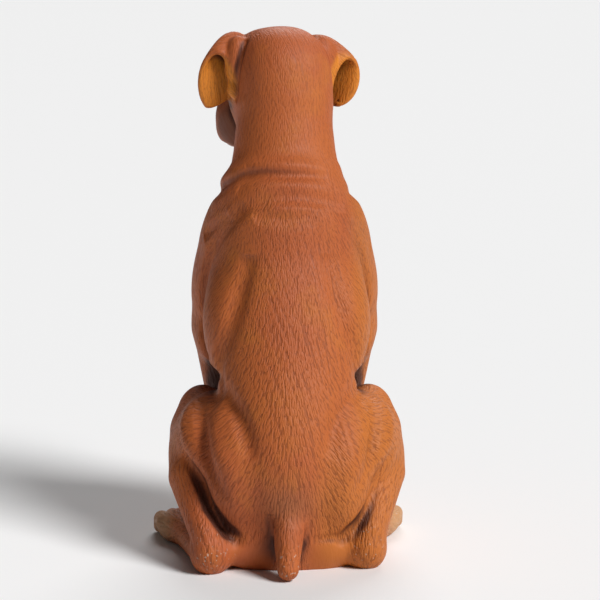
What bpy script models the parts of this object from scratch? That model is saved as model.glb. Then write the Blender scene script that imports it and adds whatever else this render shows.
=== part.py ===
"""Sitting boxer dog, a garden statue cast in one piece.

The dog sits upright on straight forelegs, rump and hocks on the ground, its head turned to its own
left and its ears folded over. It faces -Y, its left side is towards +X and it rests on the plane z = 0.

The figure is built up the way clay is: rounded masses are pressed together, hollows are cut, and folds
are drawn across the skin. Every place and size in the tables is a share of the statue's height, so
HEIGHT scales the whole casting.
"""
import math

import bmesh
import bpy
import numpy as np

for thing in list(bpy.data.objects):
    bpy.data.objects.remove(thing, do_unlink=True)

HEIGHT = 0.400              # ground to the crown of the head, metres
HEAD_TURN = 27.0            # degrees the face looks to the dog's left
HEAD_NOD = 5.0              # degrees the nose dips
HEAD_BASE = (0.003, -0.105, 0.885)      # base of the skull on the neck
EYE = (0.0375, -0.1055, 0.0215)         # centre of the left eyeball, from the base of the skull
EYE_RADIUS = 0.0165
EYE_LOOKS_OUT = 18.0        # degrees each eye looks away from straight ahead
EAR_HALF_THICKNESS = 0.0056
LEFT_FOOT = (0.020, 0.054)  # hind foot: how far it sits back, how far its toes point out
RIGHT_FOOT = (-0.010, 0.028)
SKIN_CELL = 0.005           # spacing of the first fine skin
SKIN_FACES = 9300           # triangles left in the finished casting
RESIN_COLOUR = (0.42, 0.145, 0.035, 1.0)   # orange-brown paint over cast resin
RESIN_ROUGHNESS = 0.5

SIDES = (1, -1)             # left, right
REGION = ((-0.28, -0.33, -0.020), (0.30, 0.36, 1.03))    # room the figure is sought in
FAR = 1.0                   # what the clay field reads where there is no clay
SNAP = 5                    # decimals of a metre kept in the skin's points


# Rounded masses. Each is (low corner, high corner, distance from its surface).

def turn(pitch=0.0, roll=0.0, yaw=0.0):
    """Rotation about x, then y, then z, in degrees"""
    a, b, c = (math.radians(angle) for angle in (pitch, roll, yaw))
    about_x = np.array([[1, 0, 0], [0, math.cos(a), -math.sin(a)], [0, math.sin(a), math.cos(a)]])
    about_y = np.array([[math.cos(b), 0, math.sin(b)], [0, 1, 0], [-math.sin(b), 0, math.cos(b)]])
    about_z = np.array([[math.cos(c), -math.sin(c), 0], [math.sin(c), math.cos(c), 0], [0, 0, 1]])
    return about_z @ about_y @ about_x


def ball(centre, radii, pitch=0.0, roll=0.0, yaw=0.0, power=2.0):
    """Ellipsoid; a higher power makes it squarer"""
    centre, radii = np.array(centre, float), np.array(radii, float)
    axes = turn(pitch, roll, yaw)
    reach = np.sqrt((axes**2) @ radii**2) * (1.0 if power <= 2.0 else 1.12)

    def distance(p):
        q = np.abs((p - centre) @ axes) / radii
        level = np.maximum((q**power).sum(1), 1e-18)**(1 / power)
        slope = np.sqrt((((q / level[:, None])**(power - 1) / radii)**2).sum(1))
        return (level - 1) / np.maximum(slope, 1e-9)

    return centre - reach, centre + reach, distance


def limb(*joints):
    """Round limb through joints (x, y, z, radius)"""
    joints = np.array(joints, float)
    points, radii = joints[:, :3], joints[:, 3]

    def distance(p):
        out = np.full(len(p), np.inf)
        for a, b, ra, rb in zip(points, points[1:], radii, radii[1:]):
            along = b - a
            share = np.clip((p - a) @ along / (along @ along), 0, 1)
            gap = np.linalg.norm(p - a - share[:, None] * along, axis=1)
            out = np.minimum(out, gap - (ra + (rb - ra) * share))
        return out

    return (points - radii[:, None]).min(0), (points + radii[:, None]).max(0), distance


def weights(degree, t):
    """Weights of a leaf's control points at t, and how fast they change"""
    def row(n):
        order = np.arange(n + 1)
        choose = np.array([math.comb(n, i) for i in order], float)
        return choose * t[:, None]**order * (1 - t[:, None])**(n - order)

    lower = row(degree - 1)
    change = np.zeros((len(t), degree + 1))
    change[:, 1:] += degree * lower
    change[:, :-1] -= degree * lower
    return row(degree), change


def on_leaf(grid, u, v):
    """Point of a bent leaf and its two directions there"""
    (down, down_change), (across, across_change) = weights(len(grid) - 1, u), weights(len(grid[0]) - 1, v)
    return (np.einsum("ni,nj,ijk->nk", down, across, grid),
            np.einsum("ni,nj,ijk->nk", down_change, across, grid),
            np.einsum("ni,nj,ijk->nk", down, across_change, grid))


def leaf(passes, half_thickness):
    """Bent leaf with a thickness through a grid of points, whose rows run from the root to the tip"""
    passes = np.array(passes, float)
    down, across = (np.linalg.inv(weights(n - 1, np.linspace(0, 1, n))[0]) for n in passes.shape[:2])
    grid = np.einsum("ai,bj,ijk->abk", down, across, passes)
    start_u, start_v = (t.ravel() for t in np.meshgrid(np.linspace(0, 1, 18), np.linspace(0, 1, 12)))
    starts = on_leaf(grid, start_u, start_v)[0]

    def distance(p):
        out = np.empty(len(p))
        for i in range(0, len(p), 20000):
            q = p[i:i + 20000]
            nearest = ((starts**2).sum(1)[None, :] - 2 * q @ starts.T).argmin(1)
            u, v = start_u[nearest], start_v[nearest]
            for _ in range(6):
                point, du, dv = on_leaf(grid, u, v)
                gap = q - point
                uu, uv, vv = (du * du).sum(1), (du * dv).sum(1), (dv * dv).sum(1)
                ug, vg = (du * gap).sum(1), (dv * gap).sum(1)
                whole = np.maximum(uu * vv - uv * uv, 1e-12)
                step_u, step_v = (vv * ug - uv * vg) / whole, (uu * vg - uv * ug) / whole
                at_end = ((u <= 0) & (step_u < 0)) | ((u >= 1) & (step_u > 0))
                at_rim = ((v <= 0) & (step_v < 0)) | ((v >= 1) & (step_v > 0))
                step_u, step_v = (np.where(at_rim, ug / np.maximum(uu, 1e-12), step_u),
                                  np.where(at_end, vg / np.maximum(vv, 1e-12), step_v))
                u = np.clip(u + np.clip(step_u, -0.15, 0.15), 0, 1)
                v = np.clip(v + np.clip(step_v, -0.15, 0.15), 0, 1)
            out[i:i + 20000] = np.linalg.norm(q - on_leaf(grid, u, v)[0], axis=1) - half_thickness(u, v)
        return out

    corners = grid.reshape(-1, 3)
    most = half_thickness(start_u, start_v).max()
    return corners.min(0) - most, corners.max(0) + most, distance


def moved(shape, origin, axes):
    """Shape carried from its own frame into the statue's"""
    low, high, distance = shape
    corners = np.array([(x, y, z) for x in (low[0], high[0]) for y in (low[1], high[1])
                        for z in (low[2], high[2])]) @ axes.T + origin
    return corners.min(0), corners.max(0), lambda p: distance((p - origin) @ axes)


def side_ball(side, centre, radii, pitch=0.0, roll=0.0, yaw=0.0, power=2.0):
    x, y, z = centre
    return ball((side * x, y, z), radii, pitch, side * roll, side * yaw, power)


def side_limb(side, *joints):
    return limb(*[(side * x, y, z, r) for x, y, z, r in joints])


# The figure. Each mass comes with the width over which it melts into what is already there.

def torso():
    yield ball((0, 0.012, 0.490), (0.152, 0.142, 0.205), pitch=24), 0.05    # ribcage
    yield ball((0, -0.125, 0.495), (0.112, 0.098, 0.155), pitch=-6), 0.06    # forechest
    yield ball((0, -0.015, 0.635), (0.118, 0.100, 0.100), pitch=20), 0.06    # withers
    yield ball((0, 0.110, 0.345), (0.132, 0.110, 0.180), pitch=24), 0.06    # loin
    yield ball((0, 0.150, 0.190), (0.130, 0.130, 0.165), pitch=10), 0.05    # rump
    yield ball((0, 0.138, 0.040), (0.140, 0.108, 0.090)), 0.05    # seat
    yield limb((0.130, 0.225, 0.040, 0.030), (0.075, 0.205, 0.045, 0.040)), 0.03
    yield limb((-0.130, 0.195, 0.035, 0.030), (-0.075, 0.200, 0.040, 0.036)), 0.03
    yield limb((0, -0.070, 0.400, 0.085), (0, -0.010, 0.260, 0.090),
               (0, 0.080, 0.120, 0.100)), 0.05    # belly
    for side in SIDES:
        yield side_ball(side, (0.046, -0.186, 0.490), (0.050, 0.036, 0.090),
                        pitch=-6, roll=-8), 0.04    # breast
        yield side_ball(side, (0.102, 0.062, 0.440), (0.056, 0.070, 0.090), pitch=15), 0.03    # flank
    yield limb((0, -0.200, 0.560, 0.026), (0, -0.222, 0.480, 0.018),
               (0, -0.190, 0.400, 0.030)), 0.05    # breastbone


def neck():
    yield limb((0, -0.020, 0.620, 0.124), (0.001, -0.062, 0.735, 0.102),
               (0.001, -0.085, 0.835, 0.091), (0.002, -0.095, 0.900, 0.080)), 0.05
    yield limb((0, -0.120, 0.620, 0.085), (0, -0.145, 0.780, 0.062),
               (0, -0.150, 0.840, 0.058)), 0.05    # throat


def fore_leg(side):
    yield side_ball(side, (0.108, -0.070, 0.570), (0.062, 0.080, 0.125),
                    pitch=-22, roll=-8), 0.030    # blade
    yield side_ball(side, (0.131, -0.100, 0.475), (0.054, 0.082, 0.100), pitch=-26), 0.026    # upper arm
    yield side_ball(side, (0.134, -0.070, 0.385), (0.040, 0.045, 0.050)), 0.02    # elbow
    yield side_limb(side, (0.130, -0.115, 0.400, 0.053), (0.118, -0.150, 0.260, 0.040),
                    (0.108, -0.170, 0.120, 0.034), (0.106, -0.185, 0.055, 0.034)), 0.03    # forearm
    yield side_ball(side, (0.107, -0.160, 0.120), (0.036, 0.038, 0.034)), 0.02    # wrist
    yield side_ball(side, (0.106, -0.205, 0.030), (0.046, 0.050, 0.034)), 0.02    # paw
    for offset, ahead in ((-0.034, 0.0), (-0.0118, 0.015), (0.0118, 0.015), (0.034, 0.0)):
        yield side_limb(side, (0.106 + offset * 0.9, -0.205 - ahead, 0.038, 0.020),
                        (0.106 + offset, -0.238 - ahead, 0.036, 0.0165),
                        (0.106 + offset, -0.255 - ahead, 0.015, 0.0145)), 0.005    # toe
        yield side_limb(side, (0.106 + offset, -0.262 - ahead, 0.022, 0.0055),
                        (0.106 + offset, -0.276 - ahead, 0.012, 0.0025)), 0.002    # claw
    yield side_limb(side, (0.078, -0.172, 0.075, 0.010), (0.073, -0.182, 0.062, 0.006)), 0.006    # dew claw


def hind_leg(side, back, splay):
    yield side_ball(side, (0.132, 0.060, 0.196), (0.090, 0.142, 0.110), pitch=20), 0.022    # thigh
    yield side_ball(side, (0.163, -0.030, 0.238), (0.051, 0.064, 0.062)), 0.03    # knee
    yield side_ball(side, (0.092, 0.165, 0.175), (0.068, 0.095, 0.130), pitch=8), 0.02    # hamstring
    yield side_limb(side, (0.175, -0.010, 0.212, 0.052), (0.179, 0.105 + back, 0.155, 0.048),
                    (0.156, 0.205 + back, 0.070, 0.030)), 0.015    # shin
    yield side_limb(side, (0.172, 0.130 + back, 0.140, 0.022), (0.153, 0.225 + back, 0.072, 0.015),
                    (0.148, 0.228 + back, 0.040, 0.020)), 0.012    # tendon
    yield side_ball(side, (0.146, 0.212 + back, 0.034), (0.033, 0.034, 0.038)), 0.02    # hock
    toe_x = 0.150 + splay
    yield side_limb(side, (0.148, 0.214 + back, 0.030, 0.031),
                    (0.5 * (0.15 + toe_x), 0.100 + back, 0.029, 0.029),
                    (toe_x, 0.000 + back, 0.029, 0.032)), 0.02    # pastern
    yield side_ball(side, (toe_x + 0.004, -0.015 + back, 0.026), (0.045, 0.048, 0.030)), 0.02    # foot
    for offset, ahead in ((-0.033, 0.0), (-0.0112, 0.014), (0.0118, 0.012), (0.033, -0.006)):
        yield side_limb(side, (toe_x + 0.002 + offset * 0.9, -0.015 - ahead + back, 0.034, 0.019),
                        (toe_x + 0.008 + offset, -0.048 - ahead + back, 0.033, 0.016),
                        (toe_x + 0.011 + offset, -0.065 - ahead + back, 0.014, 0.0138)), 0.005    # toe
        yield side_limb(side, (toe_x + 0.012 + offset, -0.071 - ahead + back, 0.021, 0.0052),
                        (toe_x + 0.014 + offset, -0.084 - ahead + back, 0.011, 0.0025)), 0.002    # claw


def tail():
    yield limb((0, 0.215, 0.135, 0.036), (0.002, 0.268, 0.082, 0.029), (0.004, 0.302, 0.022, 0.020)), 0.018


def head():
    """From the base of the skull, the face towards -Y"""
    yield ball((0, -0.022, 0.036), (0.084, 0.092, 0.077), power=2.5), 0.03    # skull
    yield ball((0, 0.030, -0.010), (0.076, 0.060, 0.080)), 0.04    # nape
    yield ball((0, -0.088, 0.020), (0.054, 0.034, 0.046)), 0.03    # face
    for side in SIDES:
        yield side_ball(side, (0.052, -0.050, -0.024), (0.033, 0.052, 0.056)), 0.03    # cheek
        yield side_ball(side, (0.033, -0.094, 0.050), (0.027, 0.022, 0.016), roll=-10), 0.016    # brow
    yield limb((0, -0.090, -0.002, 0.036), (0, -0.165, -0.006, 0.026)), 0.02    # bridge
    yield ball((0, -0.132, -0.044), (0.058, 0.054, 0.044), power=2.8), 0.02    # muzzle
    for side in SIDES:
        yield side_ball(side, (0.026, -0.164, -0.042), (0.031, 0.029, 0.034), power=2.4), 0.012    # lip
        yield side_ball(side, (0.043, -0.138, -0.074), (0.027, 0.048, 0.044),
                        pitch=-12, power=2.4), 0.018    # flew
    yield ball((0, -0.162, -0.098), (0.038, 0.031, 0.023), power=2.3), 0.007    # chin
    yield ball((0, -0.090, -0.085), (0.048, 0.074, 0.036)), 0.03    # jaw
    yield ball((0, -0.184, 0.000), (0.028, 0.018, 0.020), power=2.4), 0.005    # nose


def head_hollows():
    for side in SIDES:
        yield side_ball(side, (0.0396, -0.1230, 0.0215), (0.0205, 0.0150, 0.0158), yaw=EYE_LOOKS_OUT), 0.008
        # nostril and its slit
        yield side_ball(side, (0.0135, -0.2030, -0.0010), (0.0058, 0.0090, 0.0048), roll=-20), 0.003
        yield side_ball(side, (0.0240, -0.1990, -0.0040), (0.0060, 0.0070, 0.0022), roll=-30), 0.003


def lid(side, lift, radius):
    """Eyelid arched over the eyeball, lift degrees up or down at its middle"""
    joints = []
    for angle in range(-75, 76, 15):
        level = math.radians(lift * math.cos(math.radians(angle * 90 / 80)))
        across = math.radians(angle + EYE_LOOKS_OUT)
        fullness = 0.7 + 0.3 * math.cos(math.radians(angle))
        joints.append((EYE[0] + EYE_RADIUS * math.sin(across) * math.cos(level),
                       EYE[1] - EYE_RADIUS * math.cos(across) * math.cos(level),
                       EYE[2] + EYE_RADIUS * math.sin(level), radius * fullness))
    return side_limb(side, *joints)


def eye(side):
    yield side_ball(side, EYE, (EYE_RADIUS,) * 3), 0.001
    yield lid(side, 42, 0.0036), 0.003
    yield lid(side, -42, 0.0030), 0.003


def ear(side):
    """Folded ear: each row of points runs from the back rim to the front rim, from the base of the skull"""
    if side > 0:
        passes = [
            [(0.098, 0.012, -0.012), (0.082, -0.008, 0.030), (0.066, -0.030, 0.058)],
            [(0.102, 0.014, 0.034), (0.098, -0.014, 0.088), (0.082, -0.034, 0.088)],
            [(0.128, 0.012, 0.064), (0.126, -0.012, 0.078), (0.110, -0.030, 0.074)],
            [(0.157, 0.004, 0.030), (0.138, -0.008, 0.036), (0.112, -0.020, 0.032)],
            [(0.149, -0.004, -0.041), (0.134, -0.010, -0.039), (0.110, -0.020, -0.026)],
        ]
    else:
        passes = [
            [(-0.086, -0.045, -0.028), (-0.070, -0.056, 0.020), (-0.040, -0.068, 0.055)],
            [(-0.099, -0.040, 0.012), (-0.094, -0.062, 0.074), (-0.050, -0.090, 0.084)],
            [(-0.128, -0.054, 0.050), (-0.112, -0.076, 0.066), (-0.056, -0.108, 0.070)],
            [(-0.149, -0.064, 0.016), (-0.122, -0.074, 0.022), (-0.058, -0.114, 0.028)],
            [(-0.114, -0.072, -0.044), (-0.098, -0.084, -0.042), (-0.060, -0.110, -0.030)],
        ]
    return leaf(passes, lambda u, v: EAR_HALF_THICKNESS + 0.0022 * (1 - np.abs(2 * v - 1)**4) * (1 - u))


def ear_root(side):
    """Mound the ear grows from and its lobe, from the base of the skull"""
    if side > 0:
        yield ball((0.088, 0.002, 0.042), (0.027, 0.028, 0.053)), 0.010
        yield ball((0.096, 0.010, -0.008), (0.014, 0.013, 0.017)), 0.008
    else:
        yield ball((-0.076, -0.046, 0.044), (0.032, 0.032, 0.050)), 0.010
        yield ball((-0.086, -0.040, -0.006), (0.014, 0.012, 0.022)), 0.010


def masses():
    yield from torso()
    yield from neck()
    for side, (back, splay) in zip(SIDES, (LEFT_FOOT, RIGHT_FOOT)):
        yield from fore_leg(side)
        yield from hind_leg(side, back, splay)
    yield from tail()
    for shape, melt in head():
        yield moved(shape, HEAD_BASE, HEAD_AXES), melt
    for side in SIDES:
        for shape, melt in ear_root(side):
            yield moved(shape, HEAD_BASE, np.eye(3)), melt
        yield moved(ear(side), HEAD_BASE, np.eye(3)), 0.006


# Folds and grooves: (points, width, depth). A negative depth raises a roll of skin.

def body_folds():
    """Drawn on the skin; the photograph's left is the dog's left"""
    # rolls of loose skin across the nape, with a crease under each
    nape = (
        ([(0.126, -0.045, 0.682), (0.121, -0.024, 0.692), (0.104, 0.011, 0.707), (0.086, 0.028, 0.717),
          (0.054, 0.048, 0.723), (0.003, 0.063, 0.724), (-0.044, 0.054, 0.721), (-0.079, 0.038, 0.716)],
         0.012, 0.0115),
        ([(0.096, -0.150, 0.660), (0.116, -0.100, 0.668), (0.126, -0.050, 0.678), (0.121, -0.024, 0.692)],
         0.014, 0.008),
        ([(-0.126, -0.100, 0.668), (-0.134, -0.050, 0.676), (-0.116, 0.000, 0.694)], 0.013, 0.010),
        ([(0.108, -0.080, 0.716), (0.104, 0.005, 0.730), (0.077, 0.032, 0.738), (0.032, 0.058, 0.743),
          (-0.025, 0.059, 0.743), (-0.074, 0.035, 0.736), (-0.112, -0.090, 0.716)], 0.017, -0.008),
        ([(0.098, 0.056, 0.642), (0.077, 0.070, 0.660), (0.055, 0.085, 0.672), (0.028, 0.087, 0.680),
          (-0.007, 0.089, 0.683), (-0.047, 0.081, 0.678), (-0.086, 0.065, 0.671),
          (-0.110, 0.045, 0.660)], 0.0145, 0.0115),
        ([(0.090, -0.150, 0.690), (0.112, -0.100, 0.694), (0.120, -0.040, 0.704), (0.104, 0.010, 0.716),
          (0.080, 0.040, 0.730)], 0.017, -0.010),
        ([(0.104, 0.030, 0.692), (0.078, 0.055, 0.697), (0.050, 0.072, 0.703), (0.000, 0.080, 0.706),
          (-0.050, 0.070, 0.702), (-0.090, 0.050, 0.695)], 0.013, -0.003),
        ([(0.059, 0.099, 0.639), (0.048, 0.099, 0.647), (0.023, 0.105, 0.648), (-0.001, 0.110, 0.646),
          (-0.028, 0.104, 0.648), (-0.056, 0.099, 0.649)], 0.0130, 0.0085),
    )
    yield from nape
    # the blade's ridge and the valley below it
    yield [(0.084, 0.045, 0.690), (0.112, 0.020, 0.676), (0.142, -0.015, 0.650)], 0.013, -0.008
    yield [(0.110, 0.050, 0.645), (0.123, 0.034, 0.633), (0.144, 0.004, 0.612),
           (0.158, -0.020, 0.595)], 0.010, 0.013
    yield [(0.077, 0.070, 0.660), (0.098, 0.056, 0.642), (0.110, 0.045, 0.625), (0.123, 0.026, 0.599),
           (0.133, 0.009, 0.574), (0.145, -0.004, 0.545)], 0.013, 0.022
    yield [(-0.118, 0.035, 0.634), (-0.150, -0.010, 0.600), (-0.168, -0.050, 0.570)], 0.012, 0.006
    for side in SIDES:
        full = 1.0 if side > 0 else 0.55
        # between the ribs and the arm
        yield [(side * x, y, z) for x, y, z in (
            (0.070, 0.080, 0.664), (0.098, 0.060, 0.634), (0.124, 0.035, 0.602), (0.142, 0.010, 0.570),
            (0.150, -0.008, 0.535), (0.154, -0.015, 0.500), (0.160, -0.018, 0.460), (0.165, -0.018, 0.420),
            (0.158, -0.010, 0.380), (0.148, 0.000, 0.350))], 0.012, 0.022 * full
        yield [(side * x, y, z) for x, y, z in (
            (0.152, -0.012, 0.520), (0.160, -0.020, 0.460), (0.165, -0.022, 0.410), (0.155, -0.015, 0.360),
            (0.148, -0.010, 0.330))], 0.014, 0.018 * full
        # between the back and the flank
        yield [(side * x, y, z) for x, y, z in (
            (0.072, 0.106, 0.578), (0.074, 0.110, 0.561), (0.082, 0.120, 0.528), (0.090, 0.129, 0.495),
            (0.103, 0.138, 0.455), (0.112, 0.140, 0.421), (0.130, 0.130, 0.379))], 0.017, 0.013 * full
        yield [(side * x, y, z) for x, y, z in (
            (0.108, 0.139, 0.440), (0.128, 0.132, 0.385), (0.131, 0.140, 0.345),
            (0.120, 0.165, 0.310))], 0.014, 0.012 * full
        # down the haunch: behind the outer thigh, behind the shin, beside the back
        yield [(side * x, y, z) for x, y, z in (
            (0.158, 0.100, 0.302), (0.164, 0.141, 0.285), (0.160, 0.170, 0.259), (0.154, 0.185, 0.238),
            (0.143, 0.208, 0.201), (0.130, 0.233, 0.173), (0.115, 0.248, 0.140))], 0.012, 0.016 * full
        yield [(side * x, y, z) for x, y, z in (
            (0.199, 0.153, 0.211), (0.189, 0.166, 0.194), (0.176, 0.175, 0.178), (0.157, 0.194, 0.144),
            (0.131, 0.218, 0.103), (0.105, 0.232, 0.068), (0.092, 0.236, 0.045))], 0.010, 0.014 * full
        yield [(side * x, y, z) for x, y, z in (
            (0.112, 0.160, 0.345), (0.100, 0.180, 0.316), (0.085, 0.205, 0.288), (0.073, 0.225, 0.252),
            (0.064, 0.240, 0.215))], 0.015, 0.010 * full
        # the bellies of the thigh between them
        yield [(side * x, y, z) for x, y, z in (
            (0.128, 0.160, 0.325), (0.126, 0.180, 0.275), (0.112, 0.205, 0.225),
            (0.095, 0.225, 0.180))], 0.020, -0.008 * full
        yield [(side * x, y, z) for x, y, z in (
            (0.180, 0.080, 0.310), (0.186, 0.120, 0.260), (0.168, 0.165, 0.215),
            (0.146, 0.200, 0.170))], 0.016, -0.006 * full
        # the groin, between belly and inner thigh
        yield [(side * x, y, z) for x, y, z in (
            (0.064, 0.045, 0.020), (0.070, 0.000, 0.100), (0.084, -0.045, 0.190),
            (0.100, -0.050, 0.280))], 0.018, 0.012
        # skin pleated where the flank meets the thigh
        yield [(side * x, y, z) for x, y, z in (
            (0.158, 0.010, 0.330), (0.150, 0.060, 0.336), (0.134, 0.110, 0.346),
            (0.118, 0.145, 0.352))], 0.010, 0.010
        yield [(side * x, y, z) for x, y, z in (
            (0.156, 0.000, 0.358), (0.150, 0.050, 0.362), (0.138, 0.090, 0.372))], 0.009, -0.005
        # beside the tail
        yield [(side * x, y, z) for x, y, z in (
            (0.028, 0.245, 0.125), (0.034, 0.262, 0.080), (0.034, 0.265, 0.030))], 0.009, 0.009 * full**2
    yield [(-0.040, 0.250, 0.062), (-0.080, 0.240, 0.064), (-0.112, 0.225, 0.060)], 0.007, 0.006
    # crease beside the left ear's mound
    yield [(0.078, -0.080, 0.985), (0.080, -0.080, 0.940), (0.080, -0.085, 0.895),
           (0.076, -0.085, 0.850)], 0.006, 0.008


def head_folds():
    """From the base of the skull"""
    yield [(0, -0.116, 0.040), (0, -0.108, 0.070), (0, -0.080, 0.100), (0, -0.040, 0.114)], 0.010, 0.0045
    yield [(0, -0.203, -0.018), (0, -0.196, -0.045), (0, -0.190, -0.074)], 0.0042, 0.007
    for side in SIDES:
        for points, width, depth in (
                ([(0.000, -0.190, -0.076), (0.025, -0.188, -0.084), (0.050, -0.165, -0.104),
                  (0.056, -0.125, -0.122)], 0.0042, 0.008),
                ([(0.024, -0.122, 0.006), (0.050, -0.116, -0.010), (0.066, -0.094, -0.048),
                  (0.062, -0.082, -0.092)], 0.009, 0.008),
                ([(0.012, -0.112, 0.045), (0.020, -0.106, 0.068), (0.032, -0.085, 0.092)], 0.006, 0.003),
                ([(0.020, -0.122, 0.036), (0.036, -0.118, 0.046), (0.058, -0.098, 0.038)], 0.004, 0.003),
                ([(0.022, -0.124, 0.006), (0.040, -0.118, 0.002), (0.058, -0.098, 0.010)], 0.004, 0.003)):
            yield [(side * x, y, z) for x, y, z in points], width, depth


def smooth_line(points, count):
    """Curve through all the points"""
    points = np.array(points, float)
    padded = np.vstack([2 * points[0] - points[1], points, 2 * points[-1] - points[-2]])
    t = np.linspace(0, len(points) - 1 - 1e-9, count)
    i = t.astype(int)
    t = (t - i)[:, None]
    a, b, c, d = padded[i], padded[i + 1], padded[i + 2], padded[i + 3]
    return 0.5 * (2 * b + (c - a) * t + (2 * a - 5 * b + 4 * c - d) * t**2 + (3 * b - 3 * c + d - a) * t**3)


# Pressing the masses together: the field is below zero inside the clay.

def smooth_min(a, b, width):
    overlap = np.maximum(width - np.abs(a - b), 0) / width
    return np.minimum(a, b) - overlap**2 * width * 0.25


def near(p, low, high, reach):
    return np.flatnonzero(((p > low - reach) & (p < high + reach)).all(1))


def base_field(p, band):
    field = np.full(len(p), FAR)
    for steps, cut in ((CLAY, False), (HOLLOWS, True), (EYES, False)):
        for (low, high, distance), melt in steps:
            at = near(p, low, high, band + melt)
            if len(at):
                d = distance(p[at])
                field[at] = -smooth_min(-field[at], d, melt) if cut else smooth_min(field[at], d, melt)
    return field


def settle(lines):
    """Lays drawn lines onto the skin"""
    points = np.vstack(lines)
    nudges = 0.0015 * np.eye(3)
    for _ in range(8):
        field = base_field(points, 0.3)
        rise = [base_field(points + n, 0.3) - base_field(points - n, 0.3) for n in nudges]
        slope = np.stack(rise, 1) / 0.003
        points = points - slope * (field / np.maximum((slope**2).sum(1), 0.2))[:, None]
    return np.split(points, np.cumsum([len(line) for line in lines])[:-1])


def line_distance(p, line):
    """Distance to a drawn line and how far along it the nearest place is, 0 to 1"""
    best, share = np.full(len(p), np.inf), np.zeros(len(p))
    for i, (a, b) in enumerate(zip(line, line[1:])):
        along = b - a
        t = np.clip((p - a) @ along / (along @ along), 0, 1)
        gap = np.linalg.norm(p - a - t[:, None] * along, axis=1)
        closer = gap < best
        best = np.where(closer, gap, best)
        share = np.where(closer, (i + t) / (len(line) - 1), share)
    return best, share


def clay_field(p, band):
    field = base_field(p, band)
    for line, width, depth in FOLDS:
        at = near(p, line.min(0), line.max(0), 2.5 * width)
        if len(at):
            gap, share = line_distance(p[at], line)
            field[at] += depth * np.exp(-(gap / width)**2) * np.sin(np.pi * share)**0.6
    return field


# Skinning: the field is sampled on a grid near the surface and wrapped in quads.

def sample_clay(cell, coarse=4):
    low, high = (np.array(corner) for corner in REGION)
    counts = np.ceil((high - low) / (cell * coarse)).astype(int) + 1
    axes = [low[i] + cell * coarse * np.arange(counts[i]) for i in range(3)]
    p = np.stack(np.meshgrid(*axes, indexing="ij"), -1).reshape(-1, 3)
    rough = clay_field(p, 0.08).reshape(counts)
    for axis in range(3):
        a = np.take(rough, range(rough.shape[axis] - 1), axis)
        b = np.take(rough, range(1, rough.shape[axis]), axis)
        parts = np.stack([a + (b - a) * t / coarse for t in range(coarse)], axis + 1)
        shape = list(a.shape)
        shape[axis] *= coarse
        rough = parts.reshape(shape)
    at = np.argwhere(np.abs(rough) < 1.8 * coarse * cell)
    rough[tuple(at.T)] = clay_field(low + cell * at, 0.03)
    heal(rough, cell)
    return rough, low


def windows(array, axes):
    """The array seen from each corner of a window two wide along the axes, and that corner's slices"""
    for place in range(2**len(axes)):
        slices = [slice(None)] * 3
        for bit, axis in enumerate(axes):
            slices[axis] = slice(1, None) if place >> bit & 1 else slice(0, -1)
        yield array[tuple(slices)], tuple(slices)


def heal(field, cell):
    """Fills the places where two skins would meet along an edge or at a point only"""
    while True:
        inside = field < 0
        pinched = np.zeros_like(inside)
        for axes in ((0, 1), (0, 2), (1, 2)):
            (a, _), (b, _), (c, _), (d, _) = windows(inside, axes)
            bad = (a == d) & (b == c) & (a != b)
            for _, slices in windows(inside, axes):
                pinched[slices] |= bad
        corners = [seen for seen, _ in windows(inside, (0, 1, 2))]
        count = sum(seen.astype(int) for seen in corners)
        for a, b in zip(corners[:4], corners[:3:-1]):
            bad = (a & b & (count == 2)) | (~a & ~b & (count == 6))
            for _, slices in windows(inside, (0, 1, 2)):
                pinched[slices] |= bad
        pinched &= ~inside
        if not pinched.any():
            return
        field[pinched] = -0.1 * cell


def wrap(field, low, cell):
    """Points and outward quads of the zero surface of a sampled field"""
    inside = field < 0
    cells = tuple(n - 1 for n in field.shape)
    total, hits = np.zeros(cells + (3,)), np.zeros(cells)
    corners = [(x, y, z) for x in (0, 1) for y in (0, 1) for z in (0, 1)]

    def block(array, corner):
        return array[tuple(slice(c, c + n) for c, n in zip(corner, cells))]

    for a in corners:
        for axis in range(3):
            if a[axis]:
                continue
            b = tuple(1 if i == axis else a[i] for i in range(3))
            fa, fb = block(field, a), block(field, b)
            at = np.nonzero(block(inside, a) != block(inside, b))
            t = fa[at] / (fa[at] - fb[at])
            point = np.tile(np.array(a, float), (len(t), 1))
            point[:, axis] = t
            total[at] += point
            hits[at] += 1
    used = np.argwhere(hits > 0)
    number = np.full(cells, -1)
    number[tuple(used.T)] = np.arange(len(used))
    points = low + cell * (used + total[tuple(used.T)] / hits[tuple(used.T)][:, None])
    quads = []
    for axis in range(3):
        i, j = (axis + 1) % 3, (axis + 2) % 3
        start = [slice(None)] * 3
        stop = [slice(None)] * 3
        start[axis], stop[axis] = slice(0, -1), slice(1, None)
        a, b = inside[tuple(start)], inside[tuple(stop)]
        at = np.argwhere(a != b)
        at = at[(at[:, i] > 0) & (at[:, j] > 0) & (at[:, i] < cells[i]) & (at[:, j] < cells[j])]
        leaving = a[tuple(at.T)]
        ring = []
        for back_i, back_j in ((1, 1), (0, 1), (0, 0), (1, 0)):
            q = at.copy()
            q[:, i] -= back_i
            q[:, j] -= back_j
            ring.append(number[tuple(q.T)])
        ring = np.stack(ring, 1)
        quads.append(np.where(leaving[:, None], ring, ring[:, ::-1]))
    return points, np.vstack(quads)


def painted_resin():
    material = bpy.data.materials.new("painted_resin")
    material.use_nodes = True
    shader = material.node_tree.nodes["Principled BSDF"]
    shader.inputs["Base Color"].default_value = RESIN_COLOUR
    shader.inputs["Roughness"].default_value = RESIN_ROUGHNESS
    shader.inputs["Metallic"].default_value = 0.0
    return material


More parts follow.
